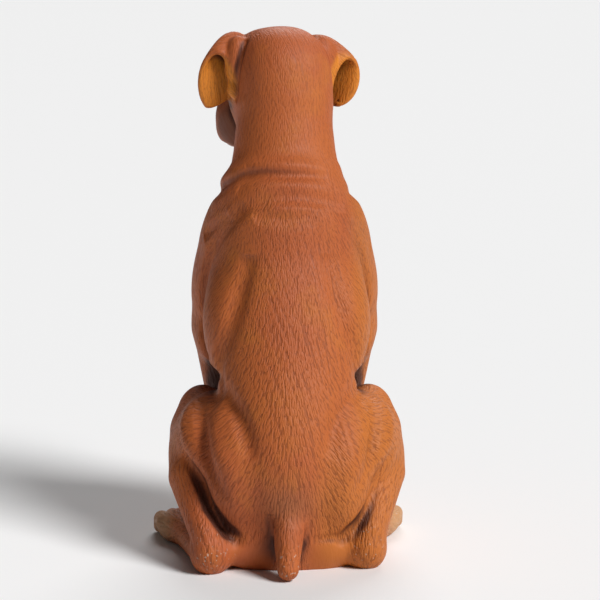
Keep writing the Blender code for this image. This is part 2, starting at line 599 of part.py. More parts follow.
def cast():
    """The statue as one closed casting, cut flat where it meets the ground and centred on the origin"""
    points, quads = wrap(*sample_clay(SKIN_CELL), SKIN_CELL)
    points = np.round(points * HEIGHT, SNAP)
    mesh = bpy.data.meshes.new("boxer_figure")
    mesh.from_pydata(points.tolist(), [], quads.tolist())
    statue = bpy.data.objects.new("boxer_figure", mesh)
    bpy.context.scene.collection.objects.link(statue)

    thin = statue.modifiers.new("fewer_faces", "DECIMATE")
    thin.ratio = SKIN_FACES / (2 * len(quads))
    thin.use_collapse_triangulate = True
    graph = bpy.context.evaluated_depsgraph_get()
    lean = bpy.data.meshes.new_from_object(statue.evaluated_get(graph))
    statue.modifiers.clear()
    statue.data = lean
    lean.name = "boxer_figure"
    bpy.data.meshes.remove(mesh)

    bm = bmesh.new()
    bm.from_mesh(lean)
    bmesh.ops.bisect_plane(bm, geom=bm.verts[:] + bm.edges[:] + bm.faces[:], dist=1e-6,
                           plane_co=(0, 0, 0), plane_no=(0, 0, -1), clear_outer=True)
    rims = [edge for edge in bm.edges if edge.is_boundary]
    bmesh.ops.holes_fill(bm, edges=rims, sides=0)
    bmesh.ops.triangulate(bm, faces=[face for face in bm.faces if len(face.verts) > 3])
    bmesh.ops.recalc_face_normals(bm, faces=bm.faces[:])
    span = [[pick(vert.co[axis] for vert in bm.verts) for pick in (min, max)] for axis in (0, 1)]
    middle = [(low + high) / 2 for low, high in span]
    bmesh.ops.translate(bm, verts=bm.verts[:], vec=(-middle[0], -middle[1], 0))
    bm.to_mesh(lean)
    bm.free()
    lean.shade_smooth()
    lean.materials.append(painted_resin())
    return statue


HEAD_BASE = np.array(HEAD_BASE)
HEAD_AXES = turn(pitch=HEAD_NOD, yaw=HEAD_TURN)
CLAY = list(masses())
HOLLOWS = [(moved(shape, HEAD_BASE, HEAD_AXES), melt) for shape, melt in head_hollows()]
EYES = [(moved(shape, HEAD_BASE, HEAD_AXES), melt) for side in SIDES for shape, melt in eye(side)]
DRAWN = [(smooth_line(points, 24), width, depth) for points, width, depth in body_folds()]
DRAWN += [(smooth_line(np.array(points) @ HEAD_AXES.T + HEAD_BASE, 16), width, depth)
          for points, width, depth in head_folds()]
SETTLED = settle([line for line, _, _ in DRAWN])
FOLDS = [(line, width, depth) for line, (_, width, depth) in zip(SETTLED, DRAWN)]

cast()
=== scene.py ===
"""Looks of the sitting boxer dog, a resin garden statue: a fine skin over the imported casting, with its
carved coat, its painted finish, a pale floor, soft light and the photograph's camera.

The skin is modelled like the casting: rounded masses are pressed together, hollows are cut and folds
are drawn. Places and sizes in the tables are shares of the statue's height. The dog faces -Y and its
left side is towards +X.
"""

import math

import bmesh
import bpy
import numpy as np
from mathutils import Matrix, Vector


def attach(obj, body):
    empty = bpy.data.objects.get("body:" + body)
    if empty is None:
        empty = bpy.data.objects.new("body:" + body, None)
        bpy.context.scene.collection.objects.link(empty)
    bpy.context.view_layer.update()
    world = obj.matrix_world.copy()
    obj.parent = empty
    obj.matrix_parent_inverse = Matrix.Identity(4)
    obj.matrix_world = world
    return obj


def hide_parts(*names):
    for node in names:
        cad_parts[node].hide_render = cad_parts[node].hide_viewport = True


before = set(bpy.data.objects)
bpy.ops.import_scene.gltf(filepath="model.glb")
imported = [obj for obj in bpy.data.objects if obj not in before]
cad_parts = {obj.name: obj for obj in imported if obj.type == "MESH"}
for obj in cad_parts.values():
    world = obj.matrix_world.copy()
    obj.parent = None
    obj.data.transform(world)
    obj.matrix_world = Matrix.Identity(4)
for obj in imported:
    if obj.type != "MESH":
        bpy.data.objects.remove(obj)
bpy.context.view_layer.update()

HEIGHT = 0.4
HEAD_TURN = 27.0            # degrees the face looks to the dog's left
HEAD_NOD = 5.0              # degrees the nose dips
HEAD_BASE = (0.003, -0.105, 0.885)      # base of the skull on the neck
EYE = (0.0375, -0.1055, 0.0215)         # centre of the left eyeball, from the base of the skull
EYE_RADIUS = 0.0165
EYE_LOOKS_OUT = 18.0        # degrees each eye looks away from straight ahead
EAR_HALF_THICKNESS = 0.0056
LEFT_FOOT = (0.02, 0.054)   # hind foot: how far it sits back, how far its toes point out
RIGHT_FOOT = (-0.01, 0.028)
FORE_TOES_OUT = 0.106       # how far out the middle of the toes is; a hind foot adds its own share
HIND_TOES_OUT = 0.15
FORE_TOES = ((-0.034, 0.0), (-0.0118, 0.015), (0.0118, 0.015), (0.034, 0.0))        # how far out, ahead
HIND_TOES = ((-0.033, 0.0), (-0.0112, 0.014), (0.0118, 0.012), (0.033, -0.006))
WIDE_BAND = 0.08            # how far from the surface the clay field is worked out
SKIN_BAND = 0.03
SIDES = (1, -1)             # left, right
REGION = ((-0.28, -0.33, -0.02), (0.3, 0.36, 1.03))      # room the figure is sought in
FAR = 1.0                   # what the clay field reads where there is no clay
SKIN_CELL = 0.0026
SKIN_FACES = 194000


# Rounded masses. Each is (low corner, high corner, distance from its surface).

def turn(pitch=0.0, roll=0.0, yaw=0.0):
    """Rotation about x, then y, then z, in degrees"""
    a, b, c = (math.radians(angle) for angle in (pitch, roll, yaw))
    about_x = np.array([[1, 0, 0], [0, math.cos(a), -math.sin(a)], [0, math.sin(a), math.cos(a)]])
    about_y = np.array([[math.cos(b), 0, math.sin(b)], [0, 1, 0], [-math.sin(b), 0, math.cos(b)]])
    about_z = np.array([[math.cos(c), -math.sin(c), 0], [math.sin(c), math.cos(c), 0], [0, 0, 1]])
    return about_z @ about_y @ about_x


def ball(centre, radii, pitch=0.0, roll=0.0, yaw=0.0, power=2.0):
    """Ellipsoid; a higher power makes it squarer"""
    centre, radii = np.array(centre, float), np.array(radii, float)
    axes = turn(pitch, roll, yaw)
    reach = np.sqrt((axes**2) @ radii**2) * (1.0 if power <= 2.0 else 1.12)

    def distance(p):
        q = np.abs((p - centre) @ axes) / radii
        level = np.maximum((q**power).sum(1), 1e-18)**(1 / power)
        slope = np.sqrt((((q / level[:, None])**(power - 1) / radii)**2).sum(1))
        return (level - 1) / np.maximum(slope, 1e-9)

    return centre - reach, centre + reach, distance


def limb(*joints):
    """Round limb through joints (x, y, z, radius)"""
    joints = np.array(joints, float)
    points, radii = joints[:, :3], joints[:, 3]

    def distance(p):
        out = np.full(len(p), np.inf)
        for a, b, ra, rb in zip(points, points[1:], radii, radii[1:]):
            along = b - a
            share = np.clip((p - a) @ along / (along @ along), 0, 1)
            gap = np.linalg.norm(p - a - share[:, None] * along, axis=1)
            out = np.minimum(out, gap - (ra + (rb - ra) * share))
        return out

    return (points - radii[:, None]).min(0), (points + radii[:, None]).max(0), distance


def weights(degree, t):
    """Weights of a leaf's control points at t, and how fast they change"""
    def row(n):
        order = np.arange(n + 1)
        choose = np.array([math.comb(n, i) for i in order], float)
        return choose * t[:, None]**order * (1 - t[:, None])**(n - order)

    lower = row(degree - 1)
    change = np.zeros((len(t), degree + 1))
    change[:, 1:] += degree * lower
    change[:, :-1] -= degree * lower
    return row(degree), change


def on_leaf(grid, u, v):
    """Point of a bent leaf and its two directions there"""
    (down, down_change), (across, across_change) = weights(len(grid) - 1, u), weights(len(grid[0]) - 1, v)
    return (np.einsum("ni,nj,ijk->nk", down, across, grid),
            np.einsum("ni,nj,ijk->nk", down_change, across, grid),
            np.einsum("ni,nj,ijk->nk", down, across_change, grid))


def leaf(passes, half_thickness):
    """Bent leaf with a thickness through a grid of points, whose rows run from the root to the tip"""
    passes = np.array(passes, float)
    down, across = (np.linalg.inv(weights(n - 1, np.linspace(0, 1, n))[0]) for n in passes.shape[:2])
    grid = np.einsum("ai,bj,ijk->abk", down, across, passes)
    start_u, start_v = (t.ravel() for t in np.meshgrid(np.linspace(0, 1, 18), np.linspace(0, 1, 12)))
    starts = on_leaf(grid, start_u, start_v)[0]

    def distance(p):
        out = np.empty(len(p))
        for i in range(0, len(p), 20000):
            q = p[i:i + 20000]
            nearest = ((starts**2).sum(1)[None, :] - 2 * q @ starts.T).argmin(1)
            u, v = start_u[nearest], start_v[nearest]
            for _ in range(6):
                point, du, dv = on_leaf(grid, u, v)
                gap = q - point
                uu, uv, vv = (du * du).sum(1), (du * dv).sum(1), (dv * dv).sum(1)
                ug, vg = (du * gap).sum(1), (dv * gap).sum(1)
                whole = np.maximum(uu * vv - uv * uv, 1e-12)
                step_u, step_v = (vv * ug - uv * vg) / whole, (uu * vg - uv * ug) / whole
                at_end = ((u <= 0) & (step_u < 0)) | ((u >= 1) & (step_u > 0))
                at_rim = ((v <= 0) & (step_v < 0)) | ((v >= 1) & (step_v > 0))
                step_u, step_v = (np.where(at_rim, ug / np.maximum(uu, 1e-12), step_u),
                                  np.where(at_end, vg / np.maximum(vv, 1e-12), step_v))
                u = np.clip(u + np.clip(step_u, -0.15, 0.15), 0, 1)
                v = np.clip(v + np.clip(step_v, -0.15, 0.15), 0, 1)
            out[i:i + 20000] = np.linalg.norm(q - on_leaf(grid, u, v)[0], axis=1) - half_thickness(u, v)
        return out

    corners = grid.reshape(-1, 3)
    most = half_thickness(start_u, start_v).max()
    return corners.min(0) - most, corners.max(0) + most, distance


def moved(shape, origin, axes):
    """Shape carried from its own frame into the statue's"""
    low, high, distance = shape
    corners = np.array([(x, y, z) for x in (low[0], high[0]) for y in (low[1], high[1])
                        for z in (low[2], high[2])]) @ axes.T + origin
    return corners.min(0), corners.max(0), lambda p: distance((p - origin) @ axes)


def side_ball(side, centre, radii, pitch=0.0, roll=0.0, yaw=0.0, power=2.0):
    x, y, z = centre
    return ball((side * x, y, z), radii, pitch, side * roll, side * yaw, power)


def side_limb(side, *joints):
    return limb(*[(side * x, y, z, r) for x, y, z, r in joints])


# The figure. Each mass comes with the width over which it melts into what is already there.

def torso():
    yield ball((0, 0.012, 0.49), (0.152, 0.142, 0.205), pitch=24), 0.05    # ribcage
    yield ball((0, -0.125, 0.495), (0.112, 0.098, 0.155), pitch=-6), 0.06    # forechest
    yield ball((0, -0.015, 0.635), (0.118, 0.1, 0.1), pitch=20), 0.06    # withers
    yield ball((0, 0.11, 0.345), (0.132, 0.11, 0.18), pitch=24), 0.06    # loin
    yield ball((0, 0.15, 0.19), (0.13, 0.13, 0.165), pitch=10), 0.05    # rump
    yield ball((0, 0.138, 0.04), (0.14, 0.108, 0.09)), 0.05    # seat
    yield limb((0.13, 0.225, 0.04, 0.03), (0.075, 0.205, 0.045, 0.04)), 0.03
    yield limb((-0.13, 0.195, 0.035, 0.03), (-0.075, 0.2, 0.04, 0.036)), 0.03
    yield limb((0, -0.07, 0.4, 0.085), (0, -0.01, 0.26, 0.09), (0, 0.08, 0.12, 0.1)), 0.05    # belly
    for side in SIDES:
        yield side_ball(side, (0.046, -0.186, 0.49), (0.05, 0.036, 0.09),
                        pitch=-6, roll=-8), 0.04    # breast
        yield side_ball(side, (0.102, 0.062, 0.44), (0.056, 0.07, 0.09), pitch=15), 0.03    # flank
    yield limb((0, -0.2, 0.56, 0.026), (0, -0.222, 0.48, 0.018),
               (0, -0.19, 0.4, 0.03)), 0.05    # breastbone


def neck():
    yield limb((0, -0.02, 0.62, 0.124), (0.001, -0.062, 0.735, 0.102),
               (0.001, -0.085, 0.835, 0.091), (0.002, -0.095, 0.9, 0.08)), 0.05
    yield limb((0, -0.12, 0.62, 0.085), (0, -0.145, 0.78, 0.062),
               (0, -0.15, 0.84, 0.058)), 0.05    # throat


def fore_leg(side):
    yield side_ball(side, (0.108, -0.07, 0.57), (0.062, 0.08, 0.125),
                    pitch=-22, roll=-8), 0.03    # blade
    yield side_ball(side, (0.131, -0.1, 0.475), (0.054, 0.082, 0.1), pitch=-26), 0.026    # upper arm
    yield side_ball(side, (0.134, -0.07, 0.385), (0.04, 0.045, 0.05)), 0.02    # elbow
    yield side_limb(side, (0.13, -0.115, 0.4, 0.053), (0.118, -0.15, 0.26, 0.04),
                    (0.108, -0.17, 0.12, 0.034), (0.106, -0.185, 0.055, 0.034)), 0.03    # forearm
    yield side_ball(side, (0.107, -0.16, 0.12), (0.036, 0.038, 0.034)), 0.02    # wrist
    yield side_ball(side, (FORE_TOES_OUT, -0.205, 0.03), (0.046, 0.05, 0.034)), 0.02    # paw
    for offset, ahead in FORE_TOES:
        yield side_limb(side, (FORE_TOES_OUT + offset * 0.9, -0.205 - ahead, 0.038, 0.02),
                        (FORE_TOES_OUT + offset, -0.238 - ahead, 0.036, 0.0165),
                        (FORE_TOES_OUT + offset, -0.255 - ahead, 0.015, 0.0145)), 0.005    # toe
        yield side_limb(side, (FORE_TOES_OUT + offset, -0.262 - ahead, 0.022, 0.0055),
                        (FORE_TOES_OUT + offset, -0.276 - ahead, 0.012, 0.0025)), 0.002    # claw
    yield side_limb(side, (0.078, -0.172, 0.075, 0.01), (0.073, -0.182, 0.062, 0.006)), 0.006    # dew claw


def hind_leg(side, back, splay):
    yield side_ball(side, (0.132, 0.06, 0.196), (0.09, 0.142, 0.11), pitch=20), 0.022    # thigh
    yield side_ball(side, (0.163, -0.03, 0.238), (0.051, 0.064, 0.062)), 0.03    # knee
    yield side_ball(side, (0.092, 0.165, 0.175), (0.068, 0.095, 0.13), pitch=8), 0.02    # hamstring
    yield side_limb(side, (0.175, -0.01, 0.212, 0.052), (0.179, 0.105 + back, 0.155, 0.048),
                    (0.156, 0.205 + back, 0.07, 0.03)), 0.015    # shin
    yield side_limb(side, (0.172, 0.13 + back, 0.14, 0.022), (0.153, 0.225 + back, 0.072, 0.015),
                    (0.148, 0.228 + back, 0.04, 0.02)), 0.012    # tendon
    yield side_ball(side, (0.146, 0.212 + back, 0.034), (0.033, 0.034, 0.038)), 0.02    # hock
    toe_x = HIND_TOES_OUT + splay
    yield side_limb(side, (0.148, 0.214 + back, 0.03, 0.031),
                    (0.5 * (HIND_TOES_OUT + toe_x), 0.1 + back, 0.029, 0.029),
                    (toe_x, 0.0 + back, 0.029, 0.032)), 0.02    # pastern
    yield side_ball(side, (toe_x + 0.004, -0.015 + back, 0.026), (0.045, 0.048, 0.03)), 0.02    # foot
    for offset, ahead in HIND_TOES:
        yield side_limb(side, (toe_x + 0.002 + offset * 0.9, -0.015 - ahead + back, 0.034, 0.019),
                        (toe_x + 0.008 + offset, -0.048 - ahead + back, 0.033, 0.016),
                        (toe_x + 0.011 + offset, -0.065 - ahead + back, 0.014, 0.0138)), 0.005    # toe
        yield side_limb(side, (toe_x + 0.012 + offset, -0.071 - ahead + back, 0.021, 0.0052),
                        (toe_x + 0.014 + offset, -0.084 - ahead + back, 0.011, 0.0025)), 0.002    # claw


def tail():
    yield limb((0, 0.215, 0.135, 0.036), (0.002, 0.268, 0.082, 0.029), (0.004, 0.302, 0.022, 0.02)), 0.018


def head():
    """From the base of the skull, the face towards -Y"""
    yield ball((0, -0.022, 0.036), (0.084, 0.092, 0.077), power=2.5), 0.03    # skull
    yield ball((0, 0.03, -0.01), (0.076, 0.06, 0.08)), 0.04    # nape
    yield ball((0, -0.088, 0.02), (0.054, 0.034, 0.046)), 0.03    # face
    for side in SIDES:
        yield side_ball(side, (0.052, -0.05, -0.024), (0.033, 0.052, 0.056)), 0.03    # cheek
        yield side_ball(side, (0.033, -0.094, 0.05), (0.027, 0.022, 0.016), roll=-10), 0.016    # brow
    yield limb((0, -0.09, -0.002, 0.036), (0, -0.165, -0.006, 0.026)), 0.02    # bridge
    yield ball((0, -0.132, -0.044), (0.058, 0.054, 0.044), power=2.8), 0.02    # muzzle
    for side in SIDES:
        yield side_ball(side, (0.026, -0.164, -0.042), (0.031, 0.029, 0.034), power=2.4), 0.012    # lip
        yield side_ball(side, (0.043, -0.138, -0.074), (0.027, 0.048, 0.044),
                        pitch=-12, power=2.4), 0.018    # flew
    yield ball((0, -0.162, -0.098), (0.038, 0.031, 0.023), power=2.3), 0.007    # chin
    yield ball((0, -0.09, -0.085), (0.048, 0.074, 0.036)), 0.03    # jaw
    yield ball((0, -0.184, 0.0), (0.028, 0.018, 0.02), power=2.4), 0.005    # nose


def head_hollows():
    for side in SIDES:
        yield side_ball(side, (0.0396, -0.123, 0.0215), (0.0205, 0.015, 0.0158), yaw=EYE_LOOKS_OUT), 0.008
        # nostril and its slit
        yield side_ball(side, (0.0135, -0.203, -0.001), (0.0058, 0.009, 0.0048), roll=-20), 0.003
        yield side_ball(side, (0.024, -0.199, -0.004), (0.006, 0.007, 0.0022), roll=-30), 0.003


def lid(side, lift, radius):
    """Eyelid arched over the eyeball, lift degrees up or down at its middle"""
    joints = []
    for angle in range(-75, 76, 15):
        level = math.radians(lift * math.cos(math.radians(angle * 90 / 80)))
        across = math.radians(angle + EYE_LOOKS_OUT)
        fullness = 0.7 + 0.3 * math.cos(math.radians(angle))
        joints.append((EYE[0] + EYE_RADIUS * math.sin(across) * math.cos(level),
                       EYE[1] - EYE_RADIUS * math.cos(across) * math.cos(level),
                       EYE[2] + EYE_RADIUS * math.sin(level), radius * fullness))
    return side_limb(side, *joints)


def eye(side):
    yield side_ball(side, EYE, (EYE_RADIUS,) * 3), 0.001
    yield lid(side, 42, 0.0036), 0.003
    yield lid(side, -42, 0.003), 0.003


def ear(side):
    """Folded ear: each row of points runs from the back rim to the front rim, from the base of the skull"""
    if side > 0:
        passes = [
            [(0.098, 0.012, -0.012), (0.082, -0.008, 0.03), (0.066, -0.03, 0.058)],
            [(0.102, 0.014, 0.034), (0.098, -0.014, 0.088), (0.082, -0.034, 0.088)],
            [(0.128, 0.012, 0.064), (0.126, -0.012, 0.078), (0.11, -0.03, 0.074)],
            [(0.157, 0.004, 0.03), (0.138, -0.008, 0.036), (0.112, -0.02, 0.032)],
            [(0.149, -0.004, -0.041), (0.134, -0.01, -0.039), (0.11, -0.02, -0.026)],
        ]
    else:
        passes = [
            [(-0.086, -0.045, -0.028), (-0.07, -0.056, 0.02), (-0.04, -0.068, 0.055)],
            [(-0.099, -0.04, 0.012), (-0.094, -0.062, 0.074), (-0.05, -0.09, 0.084)],
            [(-0.128, -0.054, 0.05), (-0.112, -0.076, 0.066), (-0.056, -0.108, 0.07)],
            [(-0.149, -0.064, 0.016), (-0.122, -0.074, 0.022), (-0.058, -0.114, 0.028)],
            [(-0.114, -0.072, -0.044), (-0.098, -0.084, -0.042), (-0.06, -0.11, -0.03)],
        ]
    return leaf(passes, lambda u, v: EAR_HALF_THICKNESS + 0.0022 * (1 - np.abs(2 * v - 1)**4) * (1 - u))


def ear_root(side):
    """Mound the ear grows from and its lobe, from the base of the skull"""
    if side > 0:
        yield ball((0.088, 0.002, 0.042), (0.027, 0.028, 0.053)), 0.01
        yield ball((0.096, 0.01, -0.008), (0.014, 0.013, 0.017)), 0.008
    else:
        yield ball((-0.076, -0.046, 0.044), (0.032, 0.032, 0.05)), 0.01
        yield ball((-0.086, -0.04, -0.006), (0.014, 0.012, 0.022)), 0.01


def masses():
    yield from torso()
    yield from neck()
    for side, (back, splay) in zip(SIDES, (LEFT_FOOT, RIGHT_FOOT)):
        yield from fore_leg(side)
        yield from hind_leg(side, back, splay)
    yield from tail()
    for shape, melt in head():
        yield moved(shape, HEAD_BASE, HEAD_AXES), melt
    for side in SIDES:
        for shape, melt in ear_root(side):
            yield moved(shape, HEAD_BASE, np.eye(3)), melt
        yield moved(ear(side), HEAD_BASE, np.eye(3)), 0.006


# Folds and grooves: (points, width, depth). A negative depth raises a roll of skin.

NAPE_FOLDS = (
    # rolls of loose skin across the nape, with a crease under each
    (((0.126, -0.045, 0.682), (0.121, -0.024, 0.692), (0.104, 0.011, 0.707), (0.086, 0.028, 0.717),
      (0.054, 0.048, 0.723), (0.003, 0.063, 0.724), (-0.044, 0.054, 0.721),
      (-0.079, 0.038, 0.716)), 0.012, 0.0115),
    (((0.096, -0.15, 0.66), (0.116, -0.1, 0.668), (0.126, -0.05, 0.678),
      (0.121, -0.024, 0.692)), 0.014, 0.008),
    (((-0.126, -0.1, 0.668), (-0.134, -0.05, 0.676), (-0.116, 0.0, 0.694)), 0.013, 0.01),
    (((0.108, -0.08, 0.716), (0.104, 0.005, 0.73), (0.077, 0.032, 0.738), (0.032, 0.058, 0.743),
      (-0.025, 0.059, 0.743), (-0.074, 0.035, 0.736), (-0.112, -0.09, 0.716)), 0.017, -0.008),
    (((0.098, 0.056, 0.642), (0.077, 0.07, 0.66), (0.055, 0.085, 0.672), (0.028, 0.087, 0.68),
      (-0.007, 0.089, 0.683), (-0.047, 0.081, 0.678), (-0.086, 0.065, 0.671),
      (-0.11, 0.045, 0.66)), 0.0145, 0.0115),
    (((0.09, -0.15, 0.69), (0.112, -0.1, 0.694), (0.12, -0.04, 0.704), (0.104, 0.01, 0.716),
      (0.08, 0.04, 0.73)), 0.017, -0.01),
    (((0.104, 0.03, 0.692), (0.078, 0.055, 0.697), (0.05, 0.072, 0.703), (0.0, 0.08, 0.706),
      (-0.05, 0.07, 0.702), (-0.09, 0.05, 0.695)), 0.013, -0.003),
    (((0.059, 0.099, 0.639), (0.048, 0.099, 0.647), (0.023, 0.105, 0.648), (-0.001, 0.11, 0.646),
      (-0.028, 0.104, 0.648), (-0.056, 0.099, 0.649)), 0.013, 0.0085),
    # the blade's ridge and the valley below it
    (((0.084, 0.045, 0.69), (0.112, 0.02, 0.676), (0.142, -0.015, 0.65)), 0.013, -0.008),
    (((0.11, 0.05, 0.645), (0.123, 0.034, 0.633), (0.144, 0.004, 0.612),
      (0.158, -0.02, 0.595)), 0.01, 0.013),
    (((0.077, 0.07, 0.66), (0.098, 0.056, 0.642), (0.11, 0.045, 0.625), (0.123, 0.026, 0.599),
      (0.133, 0.009, 0.574), (0.145, -0.004, 0.545)), 0.013, 0.022),
    (((-0.118, 0.035, 0.634), (-0.15, -0.01, 0.6), (-0.168, -0.05, 0.57)), 0.012, 0.006),
)
# on both sides; last: how many times over the right side's is fainter
SIDE_FOLDS = (
    # between the ribs and the arm
    (((0.07, 0.08, 0.664), (0.098, 0.06, 0.634), (0.124, 0.035, 0.602), (0.142, 0.01, 0.57),
      (0.15, -0.008, 0.535), (0.154, -0.015, 0.5), (0.16, -0.018, 0.46), (0.165, -0.018, 0.42),
      (0.158, -0.01, 0.38), (0.148, 0.0, 0.35)), 0.012, 0.022, 1),
    (((0.152, -0.012, 0.52), (0.16, -0.02, 0.46), (0.165, -0.022, 0.41), (0.155, -0.015, 0.36),
      (0.148, -0.01, 0.33)), 0.014, 0.018, 1),
    # between the back and the flank
    (((0.072, 0.106, 0.578), (0.074, 0.11, 0.561), (0.082, 0.12, 0.528), (0.09, 0.129, 0.495),
      (0.103, 0.138, 0.455), (0.112, 0.14, 0.421), (0.13, 0.13, 0.379)), 0.017, 0.013, 1),
    (((0.108, 0.139, 0.44), (0.128, 0.132, 0.385), (0.131, 0.14, 0.345),
      (0.12, 0.165, 0.31)), 0.014, 0.012, 1),
    # down the haunch: behind the outer thigh, behind the shin, beside the back
    (((0.158, 0.1, 0.302), (0.164, 0.141, 0.285), (0.16, 0.17, 0.259), (0.154, 0.185, 0.238),
      (0.143, 0.208, 0.201), (0.13, 0.233, 0.173), (0.115, 0.248, 0.14)), 0.012, 0.016, 1),
    (((0.199, 0.153, 0.211), (0.189, 0.166, 0.194), (0.176, 0.175, 0.178), (0.157, 0.194, 0.144),
      (0.131, 0.218, 0.103), (0.105, 0.232, 0.068), (0.092, 0.236, 0.045)), 0.01, 0.014, 1),
    (((0.112, 0.16, 0.345), (0.1, 0.18, 0.316), (0.085, 0.205, 0.288), (0.073, 0.225, 0.252),
      (0.064, 0.24, 0.215)), 0.015, 0.01, 1),
    # the bellies of the thigh between them
    (((0.128, 0.16, 0.325), (0.126, 0.18, 0.275), (0.112, 0.205, 0.225),
      (0.095, 0.225, 0.18)), 0.02, -0.008, 1),
    (((0.18, 0.08, 0.31), (0.186, 0.12, 0.26), (0.168, 0.165, 0.215),
      (0.146, 0.2, 0.17)), 0.016, -0.006, 1),
    # the groin, between belly and inner thigh
    (((0.064, 0.045, 0.02), (0.07, 0.0, 0.1), (0.084, -0.045, 0.19), (0.1, -0.05, 0.28)), 0.018, 0.012, 0),
    # skin pleated where the flank meets the thigh
    (((0.158, 0.01, 0.33), (0.15, 0.06, 0.336), (0.134, 0.11, 0.346),
      (0.118, 0.145, 0.352)), 0.01, 0.01, 0),
    (((0.156, 0.0, 0.358), (0.15, 0.05, 0.362), (0.138, 0.09, 0.372)), 0.009, -0.005, 0),
    # beside the tail
    (((0.028, 0.245, 0.125), (0.034, 0.262, 0.08), (0.034, 0.265, 0.03)), 0.009, 0.009, 2),
)
RIGHT_FAINTER = 0.55
LAST_FOLDS = (
    # under the right haunch
    (((-0.04, 0.25, 0.062), (-0.08, 0.24, 0.064), (-0.112, 0.225, 0.06)), 0.007, 0.006),
    # crease beside the left ear's mound
    (((0.078, -0.08, 0.985), (0.08, -0.08, 0.94), (0.08, -0.085, 0.895),
      (0.076, -0.085, 0.85)), 0.006, 0.008),
)


def body_folds():
    """Drawn on the skin; the photograph's left is the dog's left"""
    yield from NAPE_FOLDS
    for side in SIDES:
        for points, width, depth, fade in SIDE_FOLDS:
            share = 1.0 if side > 0 else RIGHT_FAINTER**fade
            yield [(side * x, y, z) for x, y, z in points], width, depth * share
    yield from LAST_FOLDS


def head_folds():
    """From the base of the skull"""
    yield [(0, -0.116, 0.04), (0, -0.108, 0.07), (0, -0.08, 0.1), (0, -0.04, 0.114)], 0.01, 0.0045
    yield [(0, -0.203, -0.018), (0, -0.196, -0.045), (0, -0.19, -0.074)], 0.0042, 0.007
    for side in SIDES:
        for points, width, depth in (
                ([(0.0, -0.19, -0.076), (0.025, -0.188, -0.084), (0.05, -0.165, -0.104),
                  (0.056, -0.125, -0.122)], 0.0042, 0.008),
                ([(0.024, -0.122, 0.006), (0.05, -0.116, -0.01), (0.066, -0.094, -0.048),
                  (0.062, -0.082, -0.092)], 0.009, 0.008),
                ([(0.012, -0.112, 0.045), (0.02, -0.106, 0.068), (0.032, -0.085, 0.092)], 0.006, 0.003),
                ([(0.02, -0.122, 0.036), (0.036, -0.118, 0.046), (0.058, -0.098, 0.038)], 0.004, 0.003),
                ([(0.022, -0.124, 0.006), (0.04, -0.118, 0.002), (0.058, -0.098, 0.01)], 0.004, 0.003)):
            yield [(side * x, y, z) for x, y, z in points], width, depth


def smooth_line(points, count):
    """Curve through all the points"""
    points = np.array(points, float)
    padded = np.vstack([2 * points[0] - points[1], points, 2 * points[-1] - points[-2]])
    t = np.linspace(0, len(points) - 1 - 1e-9, count)
    i = t.astype(int)
    t = (t - i)[:, None]
    a, b, c, d = padded[i], padded[i + 1], padded[i + 2], padded[i + 3]
    return 0.5 * (2 * b + (c - a) * t + (2 * a - 5 * b + 4 * c - d) * t**2 + (3 * b - 3 * c + d - a) * t**3)


# Pressing the masses together: the field is below zero inside the clay.

def smooth_min(a, b, width):
    overlap = np.maximum(width - np.abs(a - b), 0) / width
    return np.minimum(a, b) - overlap**2 * width * 0.25


def near(p, low, high, reach):
    return np.flatnonzero(((p > low - reach) & (p < high + reach)).all(1))


def base_field(p, band):
    field = np.full(len(p), FAR)
    for steps, cut in ((CLAY, False), (HOLLOWS, True), (EYES, False)):
        for (low, high, distance), melt in steps:
            at = near(p, low, high, band + melt)
            if len(at):
                d = distance(p[at])
                field[at] = -smooth_min(-field[at], d, melt) if cut else smooth_min(field[at], d, melt)
    return field


def settle(lines):
    """Lays drawn lines onto the skin"""
    points = np.vstack(lines)
    nudges = 0.0015 * np.eye(3)
    for _ in range(8):
        field = base_field(points, 0.3)
        rise = [base_field(points + n, 0.3) - base_field(points - n, 0.3) for n in nudges]
        slope = np.stack(rise, 1) / 0.003
        points = points - slope * (field / np.maximum((slope**2).sum(1), 0.2))[:, None]
    return np.split(points, np.cumsum([len(line) for line in lines])[:-1])


def line_distance(p, line):
    """Distance to a drawn line and how far along it the nearest place is, 0 to 1"""
    best, share = np.full(len(p), np.inf), np.zeros(len(p))
    for i, (a, b) in enumerate(zip(line, line[1:])):
        along = b - a
        t = np.clip((p - a) @ along / (along @ along), 0, 1)
        gap = np.linalg.norm(p - a - t[:, None] * along, axis=1)
        closer = gap < best
        best = np.where(closer, gap, best)
        share = np.where(closer, (i + t) / (len(line) - 1), share)
    return best, share


def clay_field(p, band):
    field = base_field(p, band)
    for line, width, depth in FOLDS:
        at = near(p, line.min(0), line.max(0), 2.5 * width)
        if len(at):
            gap, share = line_distance(p[at], line)
            field[at] += depth * np.exp(-(gap / width)**2) * np.sin(np.pi * share)**0.6
    return field


# Skinning: the field is sampled near the surface on finer and finer grids and wrapped in quads.

def sample_clay(cell, coarse=4):
    low, high = (np.array(corner) for corner in REGION)
    counts = np.ceil((high - low) / (cell * coarse)).astype(int) + 1
    axes = [low[i] + cell * coarse * np.arange(counts[i]) for i in range(3)]
    p = np.stack(np.meshgrid(*axes, indexing="ij"), -1).reshape(-1, 3)
    field = clay_field(p, WIDE_BAND).reshape(counts)
    step = cell * coarse
    while step > cell * 1.01:
        for axis in range(3):
            (a, _), (b, _) = windows(field, (axis,))
            shape = list(a.shape)
            shape[axis] *= 2
            field = np.stack([a, (a + b) / 2], axis + 1).reshape(shape)
        reach = 1.8 * step if step > 2.01 * cell else 1.3 * step
        step /= 2
        at = np.argwhere(np.abs(field) < reach)
        field[tuple(at.T)] = clay_field(low + step * at, SKIN_BAND)
    heal(field, cell)
    return field, low


